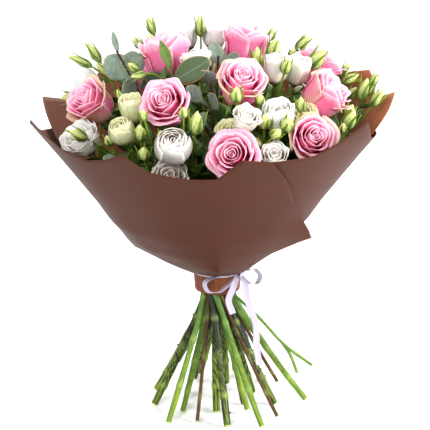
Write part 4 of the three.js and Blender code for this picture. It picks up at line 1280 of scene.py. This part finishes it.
def sepal_ring():
    """Five thin pointed sepals that stand round a bud 1 wide and 1 long."""
    body = Body()
    root, belly, flare, wide = 0.12, 0.54, 0.32, 0.32
    across, along = np.meshgrid(np.linspace(-1, 1, 3), np.linspace(0, 1, 8))
    for k in range(5):
        reach = root + (belly - root) * np.sin(np.pi / 2 * np.minimum(1, along / 0.35))
        reach += flare * np.maximum(0, along - 0.45) ** 1.5 * (1 + 0.5 * math.sin(2.1 * k))
        half = wide * (1 - along) ** 0.7 * (0.5 + 0.5 * np.minimum(1, along / 0.15)) / 2 + 0.012
        angle = 2 * np.pi * k / 5 + 0.15 * along
        x = reach * np.cos(angle) - across * half * np.sin(angle)
        y = reach * np.sin(angle) + across * half * np.cos(angle)
        grid = np.stack([x, y, along * (1 - 0.08 * math.sin(3.7 * k))], axis=-1)
        shell(body, grid, 0.035, along, across)
    return body


def rings(sides, rows):
    """The angles and the shares along of the points of a round body."""
    round_it = np.linspace(0, 2 * np.pi, sides, endpoint=False)
    return np.meshgrid(round_it, np.linspace(0, 1, rows))


def bud_body():
    """A bud 1 wide and 1 long: five petals twisted round each other to a point."""
    body = Body()
    angle, along = rings(20, 11)
    reach = np.interp(along, (0, 0.06, 0.22, 0.42, 0.62, 0.8, 0.93, 1),
                      (0.16, 0.32, 0.47, 0.485, 0.4, 0.27, 0.13, 0.045))
    fold = np.abs(np.sin(2.5 * (angle - 1.5 * along)))
    reach = reach * (0.9 + 0.12 * fold)
    grid = np.stack([reach * np.cos(angle), reach * np.sin(angle), along], axis=-1)
    loft(body, grid, along, fold)
    return body


def hip_body():
    """The green cup under a rose or a bloom, 1 wide at its rim and 1 high, its rim at 0."""
    body = Body()
    angle, along = rings(16, 7)
    reach = np.interp(along, (0, 0.3, 0.6, 0.85, 1), (0.24, 0.4, 0.5, 0.5, 0.42))
    grid = np.stack([reach * np.cos(angle), reach * np.sin(angle), along - 1], axis=-1)
    loft(body, grid, along, 1 + 0 * along)
    return body


def reflexed_sepals():
    """The five sepals under a rose, in mm, bent out and down from the rim of its hip."""
    body = Body()
    across, along = np.meshgrid(np.linspace(-1, 1, 5), np.linspace(0, 1, 10))
    for k in range(5):
        line = bezier(((4.0, -1.2), (10.0, 1.5), (17.0, -3.0), (21.5, -8.5)), along)
        half = 3.4 * (1 - along) ** 0.8 * (0.75 + 0.25 * np.minimum(1, along / 0.2)) + 0.15
        angle = np.pi * (2 * k) / 5 + 0.12 * np.sin(3 * along + k)
        x = line[..., 0] * np.cos(angle) - across * half * np.sin(angle)
        y = line[..., 0] * np.sin(angle) + across * half * np.cos(angle)
        grid = np.stack([x, y, line[..., 1] + 0.25 * half * across**2], axis=-1)
        shell(body, grid[:, ::-1], 0.5, along, across)
    return body


def scar_body():
    """A thorn stub or leaf scar 1 high: a little wedge with a blunt end."""
    body = Body()
    angle, along = rings(8, 4)
    reach = np.interp(along, (0, 0.3, 0.8, 1), (0.8, 0.5, 0.28, 0.12))
    grid = np.stack([reach * np.cos(angle), reach * np.sin(angle), along - 0.1], axis=-1)
    loft(body, grid, along, along)
    return body


def leaf_body():
    """A lisianthus leaf 1 long and 1 wide that points along +Z, its upper face towards +Y."""
    body = Body()
    across, along = np.meshgrid(np.linspace(-1, 1, 7), np.linspace(0, 1, 11))
    half = 0.5 * (np.sin(np.pi * along**0.72) ** 0.85) * (1 - 0.25 * along) + 0.02
    bend = 0.16 * along**2 - 0.1 * along
    grid = np.stack([across * half, -bend + 0.12 * half * across**2, along], axis=-1)
    shell(body, grid[:, ::-1], 0.012, along, across)
    return body


# ---------------------------------------------------------------- what the operators share

growers = {}


def grower(name):
    """A geometry node tree, or the templates to place, which are all made when first asked for."""
    if not growers:
        growers["swept"] = swept_tree()
        growers["placed"] = placed_tree()
        bodies = {
            "bud": bud_body(), "sepals": sepal_ring(), "hip": hip_body(), "scar": scar_body(),
            "leaf": leaf_body(), "reflexed": reflexed_sepals(),
        }
        growers["templates"] = {label: template(label, body) for label, body in bodies.items()}
    return growers[name]


def placed(name, places, material, seed=1, spread=0.0):
    """The mesh of a template put in places, their sizes varied by up to spread."""
    return grower("placed").grow(
        points_mesh(places), Template=grower("templates")[name], Seed=seed, Spread=spread,
        Material=material,
    )


def swept(lines, material, sides, twist=0.0, flatness=1.0):
    """The mesh of lines swept with a round section, its cut ends left flat."""
    made = grower("swept").grow(
        lines_mesh(lines), Sides=sides, Twist=twist, Flatness=flatness, Material=material
    )
    corners = np.empty(len(made.polygons), np.int32)
    made.polygons.foreach_get("loop_total", corners)
    made.polygons.foreach_set("use_smooth", corners == 4)
    return made


# ---------------------------------------------------------------- roses


def rose_stand(letter):
    """Where the head of a rose stands: its foot, the way it looks, and its own roll."""
    at, face = ROSES[letter]
    way = facing(*face)
    return Vector(at) - way * ROSE_HEIGHT * ROSE_SUNK, way, float(ord(letter))


class BOUQUET_OT_rose_heads(bpy.types.Operator):
    """Makes the heads of the roses, petal by petal"""

    bl_idname = "bouquet.rose_heads"
    bl_label = "Rose heads"
    bl_options = {"REGISTER", "UNDO"}

    def execute(self, context):
        look = context.scene.bouquet_rose
        finish = rose_finish(look)
        for letter in ROSES:
            body = Body()
            rose_head(body, standing(*rose_stand(letter)), letter, look)
            name = f"rose_{letter}"
            piece(f"{name}_petals", [body.mesh(name, finish)], "rose_petal", name)
        return {"FINISHED"}


class BOUQUET_OT_rose_stems(bpy.types.Operator):
    """Makes the stems of the roses, with their hips, sepals, joints and thorn stubs"""

    bl_idname = "bouquet.rose_stems"
    bl_label = "Rose stems"
    bl_options = {"REGISTER", "UNDO"}

    def execute(self, context):
        look, grey = context.scene.bouquet_green, context.scene.bouquet_eucalyptus
        bark = stem_finish("rose stem", look.fresh, look.dark, look)
        sepal = sepal_finish(look)
        scar = stem_finish("thorn stub", look.scar, look.bark, look, 1.0, cut=False)
        leaf = green_leaf_finish(look)
        broad = leaf_finish("broad leaf", grey.green, grey.dark, grey.edge, look.dark, grey.bloom)
        blade = leaf_finish("blade leaf", look.fresh, look.sepal, look.fresh, look.leaf, look.cut)
        for letter in ROSES:
            rng = np.random.default_rng(100 + ord(letter))
            foot, way, roll = rose_stand(letter)
            node = f"rose_{letter}_stem"
            line = stem_line(
                course(node, np.array(foot - way * HIP_SUNK), np.array(way)), ROSE_STEM,
                0.8 * ROSE_STEM, rng, rng.uniform(0.0, 0.5), 40, 1.0,
            )
            turn = turn_to(way, roll)
            stubs, leaves = [], []
            for at in range(3, len(line) - 4, 2):
                out = facing(rng.uniform(0, 360), 90)
                if line[at, 2] > LEAVES_FROM:
                    leaves.append(on_stem(line, at, out, ROSE_LEAF, 46))
                elif line[at, 2] < UNDER_PAPER and rng.uniform() < 0.55:
                    stubs.append(on_stem(line, at, out, (2.0, 2.0, rng.uniform(1.4, 3.2)), 75))
            meshes = [
                swept([line], bark, look.sides),
                placed("hip", [(foot, turn, ROSE_HIP)], sepal),
                placed("reflexed", [(foot, turn, (1, 1, 1))], sepal),
                placed("scar", stubs, scar, seed=ord(letter), spread=0.3),
                placed("leaf", leaves, leaf, seed=ord(letter), spread=0.2),
            ]
            for base, end, width, face, wide in SINGLE_LEAVES.get(letter, ()):
                body = Body()
                root = line[np.argmin(np.abs(line[:, 2] - (base[2] - LEAF_STALK))), :3]
                grid, along, across = blade_grid(root, base, end, width, facing(*face), not wide)
                shell(body, grid, 0.4, along, across)
                meshes.append(body.mesh("single leaf", broad if wide else blade))
            piece(f"{node}_green", meshes, "rose_stem", node)
        return {"FINISHED"}


# ---------------------------------------------------------------- lisianthus


def calyx(x, y, z, bearing, lean, height):
    """The foot of a bud or a bloom of some height round its middle, and the way it looks."""
    way = facing(bearing, lean)
    return Vector((x, y, z)) - way * height / 2, way


class BOUQUET_OT_lisianthus_blooms(bpy.types.Operator):
    """Makes the lisianthus blooms, petal by petal"""

    bl_idname = "bouquet.lisianthus_blooms"
    bl_label = "Lisianthus blooms"
    bl_options = {"REGISTER", "UNDO"}

    def execute(self, context):
        look = context.scene.bouquet_lisianthus
        finishes = bloom_finishes(look)
        for spray in SPRAYS.values():
            for name, (x, y, z, bearing, lean, width, height, form) in spray["blooms"].items():
                foot, way = calyx(x, y, z, bearing, lean, height)
                body = Body()
                bloom_head(body, standing(foot, way, x), name, width, height, form, look)
                node = f"bloom_{name}"
                mesh = body.mesh(node, finishes.get(name, finishes[""]))
                piece(f"{node}_petals", [mesh], "white_petal", node)
        return {"FINISHED"}


class BOUQUET_OT_lisianthus_sprays(bpy.types.Operator):
    """Makes the forked lisianthus stems, with their buds, sepals and leaves"""

    bl_idname = "bouquet.lisianthus_sprays"
    bl_label = "Lisianthus sprays"
    bl_options = {"REGISTER", "UNDO"}

    def execute(self, context):
        look, petals = context.scene.bouquet_green, context.scene.bouquet_lisianthus
        bark = stem_finish("lisianthus stem", look.fresh, look.sepal, look)
        sepal, bud = sepal_finish(look), bud_finish(petals, look)
        leaf = green_leaf_finish(look)
        for name, spray in SPRAYS.items():
            rng = np.random.default_rng(sum(map(ord, name)))
            members = [b[:3] for b in (*spray["blooms"].values(), *spray["buds"])]
            mean = np.mean(members, axis=0)
            tie = np.array((0, 0, TIE_HEIGHT))
            fork = np.array(spray.get("fork", tie + (mean - tie) * FORK_SHARE), float)
            way = (mean - tie) / np.linalg.norm(mean - tie)
            tone = rng.uniform(0.0, 0.35)
            main = stem_line(
                course(f"spray_{name}", fork, way), SPRAY_STEM, SPRAY_TIP, rng, tone, 46, 0.7
            )
            start = fork - FORK_SUNK * way
            lines, buds, sepals, hips, leaves = [main], [], [], [], []
            for x, y, z, bearing, lean, long, width in spray["buds"]:
                foot, face = calyx(x, y, z, bearing, lean, long)
                turn = turn_to(face, x + y)
                buds.append((foot, turn, (width, width, long)))
                sepals.append((foot, turn, (width, width, long * 0.98)))
                lines.append(branch_line(start, way, np.array(foot), np.array(face), tone))
            for x, y, z, bearing, lean, width, height, _ in spray["blooms"].values():
                foot, face = calyx(x, y, z, bearing, lean, height)
                hips.append((foot, turn_to(face), BLOOM_HIP))
                wide = CALYX_WIDE * width
                sepals.append((foot - face * 1.5, turn_to(face, x), (wide, wide, CALYX_LONG)))
                line = branch_line(start, way, np.array(foot - face * 2), np.array(face), tone)
                lines.append(line)
            shoots = [
                stem_line(line, SHOOT, SHOOT, rng, tone, 30, 0.5) for line in SHOOTS.get(name, ())
            ]
            for line in lines[1:]:
                out = facing(rng.uniform(0, 360), 90)
                for at, hand, size, leaf_lean in BRANCH_LEAVES:
                    leaves.append(on_stem(line, at, out * hand, size, leaf_lean))
            for at in range(len(main) - 2, 0, -3):
                if main[at, 2] > SPRAY_LEAVES_FROM:
                    out = facing(rng.uniform(0, 360), 90)
                    leaves.append(on_stem(main, at, out, SPRAY_LEAF, 42))
                    leaves.append(on_stem(main, at, -out, SPRAY_LEAF, 42))
            meshes = [
                swept(lines + shoots, bark, look.sides),
                placed("bud", buds, bud),
                placed("sepals", sepals, sepal),
                placed("leaf", leaves, leaf, seed=len(name), spread=0.2),
            ]
            if hips:
                meshes.append(placed("hip", hips, sepal))
            piece(f"spray_{name}_green", meshes, "lisianthus_green", f"spray_{name}")
        return {"FINISHED"}


# ---------------------------------------------------------------- eucalyptus


class BOUQUET_OT_eucalyptus(bpy.types.Operator):
    """Makes the eucalyptus twigs with their round leaves"""

    bl_idname = "bouquet.eucalyptus"
    bl_label = "Eucalyptus"
    bl_options = {"REGISTER", "UNDO"}

    def execute(self, context):
        look, green = context.scene.bouquet_eucalyptus, context.scene.bouquet_green
        bark = stem_finish("eucalyptus twig", green.bark, green.scar, green, 1.0)
        leaf = leaf_finish(
            "eucalyptus leaf", look.leaf, look.bloom, look.edge, look.dark, look.bloom
        )
        for name, (tip, leaves) in EUCALYPTUS.items():
            node = f"eucalyptus_{name}"
            rng = np.random.default_rng(sum(map(ord, name)))
            to = np.array(tip, float)
            way = to - (0, 0, TWIG_AIM)
            way /= np.linalg.norm(way)
            points = course(node, to, way)
            line = stem_line(points, TWIG, TWIG_TIP, rng, 0.3, 38, 0.35)
            body = Body()
            for x, y, z, long, width, bearing, lean in leaves:
                aside = math.hypot(x - to[0], y - to[1])
                height = min(to[2] - 3, z - 0.8 * long - 0.4 * aside)
                off = np.where(line[:, 2] < LOWEST_LEAF, np.inf, np.abs(line[:, 2] - height))
                root = line[np.argmin(off), :3]
                end = np.array((x, y, z), float)
                whole = np.linalg.norm(end - root)
                base = root + (end - root) * max(STALK_LEAST / whole, 1 - long / whole)
                grid, along, across = blade_grid(root, base, end, width, facing(bearing, lean))
                shell(body, grid, 0.5, along, across)
            meshes = [swept([line], bark, green.sides), body.mesh(node, leaf)]
            piece(f"{node}_leaves", meshes, "eucalyptus_leaf", node)
        return {"FINISHED"}


# ---------------------------------------------------------------- paper, string and ribbon


def sheet_grid(layer, rows, edges, rim, flap, crease):
    """A sheet of paper over the bowl as a grid, with its shares along and across."""
    bearings, heights = (np.array(v, float) for v in rim)
    corners = (bearings - bearings[0]) / (bearings[-1] - bearings[0])
    fine = np.unique(np.round(np.concatenate([corners, np.linspace(0, 1, 121)]), 4))
    top = np.interp(fine, corners, heights)
    low = np.concatenate([np.linspace(a, b, 7)[:-1] for a, b in zip(rows, rows[1:])])
    height = np.concatenate([
        np.repeat(low[:, None], len(fine), axis=1),
        rows[-1] + (top - rows[-1]) * np.linspace(0, 1, 9)[:, None],
    ])
    first, last = (np.interp(height, rows, e) for e in edges)
    bearing = first + (last - first) * fine
    to_rim = np.clip((height - rows[-1]) / np.maximum(top - rows[-1], 1), 0, 1)
    bearing += (bearings[0] + (bearings[-1] - bearings[0]) * fine - bearing) * to_rim
    out = layer * (PAPER_LAYER + np.interp(height, *LOOSE))
    angle = np.radians(bearing)
    from_side = np.radians((bearing - SQUARE_CORNER) % 90 - 45)
    folded = 1 - np.interp(height, *SQUARE) * (1 - math.cos(math.pi / 4) / np.cos(from_side))
    # The mean of three heights rounds the corners of the bowl's profile.
    radius = sum(np.interp(height + d, *BOWL) for d in (-1, 0, 1)) / 3 * folded + out
    if flap:
        beyond = np.radians(np.clip(bearing - FLAP_FROM, 0, FLAP_REACH))
        radius *= 1 + np.interp(height, *FLAP_LIFT) * (1 / np.cos(beyond) - 1)
    folds = np.sin(7 * angle + 1) + 0.6 * np.sin(13 * angle + 2.2)
    folds += 0.4 * np.abs(np.sin(5.5 * angle))
    folds *= np.clip((height - FOLDS_FROM) / FOLDS_FADE, 0, 1)
    pleats = np.maximum(0, np.sin(21 * angle) + 0.4 * np.sin(33 * angle + 1))
    pleats *= np.clip((PLEATS_TO - height) / PLEATS_FADE, 0, 1)
    radius += crease * (0.6 * folds + 0.5 * pleats)
    lean = BOWL_SHIFT * np.clip((height - LEAN_FROM) / LEAN_RISE, 0, 1)
    grid = np.stack([radius * np.cos(angle) + lean, radius * np.sin(angle), height], axis=-1)
    return grid, (height - PAINT_FROM) / PAINT_OVER, 2 * fine - 1 + 0 * height


class BOUQUET_OT_paper(bpy.types.Operator):
    """Makes the three sheets of wrapping paper"""

    bl_idname = "bouquet.paper"
    bl_label = "Wrapping paper"
    bl_options = {"REGISTER", "UNDO"}

    def execute(self, context):
        look = context.scene.bouquet_wrap
        finish = paper_finish(look)
        for name, form in SHEETS.items():
            body = Body()
            grid, along, across = sheet_grid(*form, look.crease / MM)
            shell(body, grid, look.thickness / MM, along, across)
            piece(f"{name}_sheet", [body.mesh(name, finish)], "wrapping_paper", name)
        return {"FINISHED"}


class BOUQUET_OT_string(bpy.types.Operator):
    """Winds the twisted string round the squeezed stems"""

    bl_idname = "bouquet.string"
    bl_label = "String"
    bl_options = {"REGISTER", "UNDO"}

    def execute(self, context):
        finish = string_finish(context.scene.bouquet_wrap)
        points = triangles_of("string").reshape(-1, 3)
        low, high = points[:, 2].min() + STRING_RADIUS, points[:, 2].max() - STRING_RADIUS
        bearing = np.arctan2(points[:, 1], points[:, 0])
        reach = np.hypot(points[:, 0], points[:, 1])
        steps = 48  # to a turn
        last = STRING_TURNS * steps
        rows = []
        for n in range(last + 1):
            angle = 2 * np.pi * n / steps
            near = np.cos(bearing - angle) > 0.93  # points of the solid within 21 degrees
            r = (reach[near].min() + reach[near].max()) / 2
            z = low + (high - low) * n / last
            rows.append((r * math.cos(angle), r * math.sin(angle), z, STRING_RADIUS, n, 0.0, 0.0))
        mesh = swept([np.array(rows)], finish, 8, twist=900.0, flatness=0.6)
        piece("string_windings", [mesh], "twine", "string")
        return {"FINISHED"}


def raised(line):
    """A line of the bow, moved up to the pinch of the paper."""
    return np.array(line, float) + (0, 0, BOW_RISE)


def tape(body, line, lean, width, loop):
    """Adds a ribbon along a line, its width towards lean. A loop is gathered at both its ends."""
    line = smoothed(line, 1.5)
    tangent = np.gradient(line, axis=0)
    tangent /= np.linalg.norm(tangent, axis=1)[:, None]
    across = lean - (tangent @ lean)[:, None] * tangent
    across /= np.linalg.norm(across, axis=1)[:, None]
    t = np.linspace(0, 1, len(line))
    ends = np.minimum(t, 1 - t) if loop else t
    wide = GATHERED + (width - GATHERED) * np.clip(ends / 0.14, 0, 1) ** 0.7
    s = np.linspace(-0.5, 0.5, 7)
    normal = np.cross(across, tangent)
    bowed = 0.35 * np.sin(np.pi * (s + 0.5)) * (1 + np.sin(9 * t))[:, None]
    grid = (line[:, None] + across[:, None] * (wide[:, None] * s)[..., None]
            + normal[:, None] * bowed[..., None])
    along = t[:, None] * 80 + 0 * s
    shell(body, grid, TAPE_DEPTH, along, np.tile(2 * s, (len(line), 1)))


class BOUQUET_OT_ribbon(bpy.types.Operator):
    """Ties the satin ribbon round the neck of the paper"""

    bl_idname = "bouquet.ribbon"
    bl_label = "Ribbon"
    bl_options = {"REGISTER", "UNDO"}

    def execute(self, context):
        look = context.scene.bouquet_wrap
        width = look.ribbon_width / MM
        body = Body()
        outward = np.array((KNOT[0], KNOT[1], 0)) / math.hypot(KNOT[0], KNOT[1])
        for line in LOOPS.values():
            tape(body, raised(line), outward + (0, 0, 0.3), width, True)
        for line in TAILS.values():
            tape(body, raised(line), np.array((1, 0.2, 0.15)), TAIL_WIDER * width, False)
        self.band(body, width)
        self.knot(body, outward)
        mesh = body.mesh("ribbon", ribbon_finish(look))
        piece("ribbon_bow", [mesh], "ribbon", "ribbon")
        return {"FINISHED"}

    def band(self, body, width):
        """Adds the ribbon round the neck."""
        angles = np.linspace(0, 2 * np.pi, 73)
        across, wound = np.meshgrid(np.linspace(-0.5, 0.5, 7), angles)
        radius = BAND_RADIUS + 0.2 * np.cos(np.pi * across) + 0.12 * np.sin(7 * wound)
        height = KNOT[2] + across * width
        grid = np.stack([radius * np.cos(wound), radius * np.sin(wound), height], axis=-1)
        shell(body, grid[:, ::-1], BAND_DEPTH, 90 * wound / (2 * np.pi), 2 * across[:, ::-1])

    def knot(self, body, outward):
        """Adds the turn of ribbon that holds the loops and tails."""
        deep, long, tall = KNOT_SIZE
        sideways = np.array((-outward[1], outward[0], 0))
        across, wound = np.meshgrid(np.linspace(-1, 1, 9), np.linspace(0, 2 * np.pi, 25))
        swell = 1 - 0.28 * across**2
        grid = (np.array(KNOT) + outward * (deep * swell * np.cos(wound))[..., None]
                + np.array(UP) * (tall * swell * np.sin(wound))[..., None]
                + sideways * (long * across + 0.5 * np.sin(2 * wound))[..., None])
        shell(body, grid, BAND_DEPTH, 20 * wound / (2 * np.pi), across)


# ---------------------------------------------------------------- stage


class BOUQUET_OT_stage(bpy.types.Operator):
    """Sets the floor, the lights and the camera of the photograph"""

    bl_idname = "bouquet.stage"
    bl_label = "Stage"
    bl_options = {"REGISTER", "UNDO"}

    target = Vector((-0.00342, 0, 0.2264))  # what the camera and the lights point at, in metres
    floor_radius, floor_drop = 8, 0.0004  # the floor lies a little under the cut ends
    lamps = (  # name, place and size in metres, and power as a share of the key light's
        ("key", (-0.9, -2.3, 1.8), 1.1, 1.0),
        ("fill", (2.3, -1.0, 1.1), 1.2, 1.8),
        ("rim", (0.5, 1.8, 1.9), 1.2, 0.9),
    )

    def execute(self, context):
        look = context.scene.bouquet_stage
        self.floor(look)
        self.lights(context.scene, look)
        self.camera(context.scene, look)
        return {"FINISHED"}

    def floor(self, look):
        mesh = bpy.data.meshes.new("floor")
        angle = np.linspace(0, 2 * np.pi, 64, endpoint=False)
        x, y = self.floor_radius * np.cos(angle), self.floor_radius * np.sin(angle)
        ring = np.stack([x, y, 0 * angle - self.floor_drop], axis=1)
        mesh.from_pydata(ring.tolist(), [], [tuple(range(len(ring)))])
        mesh.materials.append(floor_finish(look))
        made = bpy.data.objects.new("floor", mesh)
        bpy.context.scene.collection.objects.link(made)

    def lights(self, scene, look):
        world = bpy.data.worlds.new("studio")
        world.use_nodes = True
        sky = world.node_tree.nodes["Background"]
        sky.inputs["Color"].default_value = (1, 1, 1, 1)
        sky.inputs["Strength"].default_value = look.sky
        scene.world = world
        scene.view_settings.view_transform = "Standard"
        for name, place, size, power in self.lamps:
            light = bpy.data.lights.new(name, "AREA")
            light.shape = "DISK"
            light.size = size
            light.energy = look.key * power
            self.put(scene, name, light, place)

    def camera(self, scene, look):
        data = bpy.data.cameras.new("photograph")
        data.sensor_width = 36
        data.lens = data.sensor_width * look.distance / look.frame_width
        way = Vector((0, -math.cos(look.elevation), math.sin(look.elevation)))
        scene.camera = self.put(scene, "photograph", data, self.target + look.distance * way)

    def put(self, scene, name, data, place):
        """Puts a light or the camera in its place, turned to the bouquet."""
        made = bpy.data.objects.new(name, data)
        made.location = place
        made.rotation_euler = (self.target - Vector(place)).to_track_quat("-Z", "Y").to_euler()
        scene.collection.objects.link(made)
        return made


# ---------------------------------------------------------------- the add-on


class BOUQUET_PT_sidebar(bpy.types.Panel):
    """Lists the steps that dress the bouquet, and their settings"""

    bl_idname = "BOUQUET_PT_sidebar"
    bl_label = "Bouquet"
    bl_space_type = "VIEW_3D"
    bl_region_type = "UI"
    bl_category = "Bouquet"

    def draw(self, context):
        for operator in OPERATORS:
            self.layout.operator(operator.bl_idname)
        for name, group in SETTINGS.items():
            box = self.layout.box()
            box.label(text=group.__name__.replace("Settings", ""))
            for label in group.__annotations__:
                box.prop(getattr(context.scene, name), label)


OPERATORS = (
    BOUQUET_OT_stage, BOUQUET_OT_paper, BOUQUET_OT_string, BOUQUET_OT_ribbon,
    BOUQUET_OT_rose_stems, BOUQUET_OT_rose_heads, BOUQUET_OT_lisianthus_sprays,
    BOUQUET_OT_lisianthus_blooms, BOUQUET_OT_eucalyptus,
)


def register():
    for kind in (*SETTINGS.values(), *OPERATORS, BOUQUET_PT_sidebar):
        bpy.utils.register_class(kind)
    for name, group in SETTINGS.items():
        setattr(bpy.types.Scene, name, bpy.props.PointerProperty(type=group))


def unregister():
    for name in SETTINGS:
        delattr(bpy.types.Scene, name)
    for kind in reversed((*SETTINGS.values(), *OPERATORS, BOUQUET_PT_sidebar)):
        bpy.utils.unregister_class(kind)


def main():
    register()
    bpy.ops.bouquet.stage()
    bpy.ops.bouquet.paper()
    bpy.ops.bouquet.string()
    bpy.ops.bouquet.ribbon()
    bpy.ops.bouquet.rose_stems()
    bpy.ops.bouquet.rose_heads()
    bpy.ops.bouquet.lisianthus_sprays()
    bpy.ops.bouquet.lisianthus_blooms()
    bpy.ops.bouquet.eucalyptus()
    for made in grower("templates").values():
        bpy.data.objects.remove(made)
    growers.clear()
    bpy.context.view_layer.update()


if __name__ == "__main__":
    main()
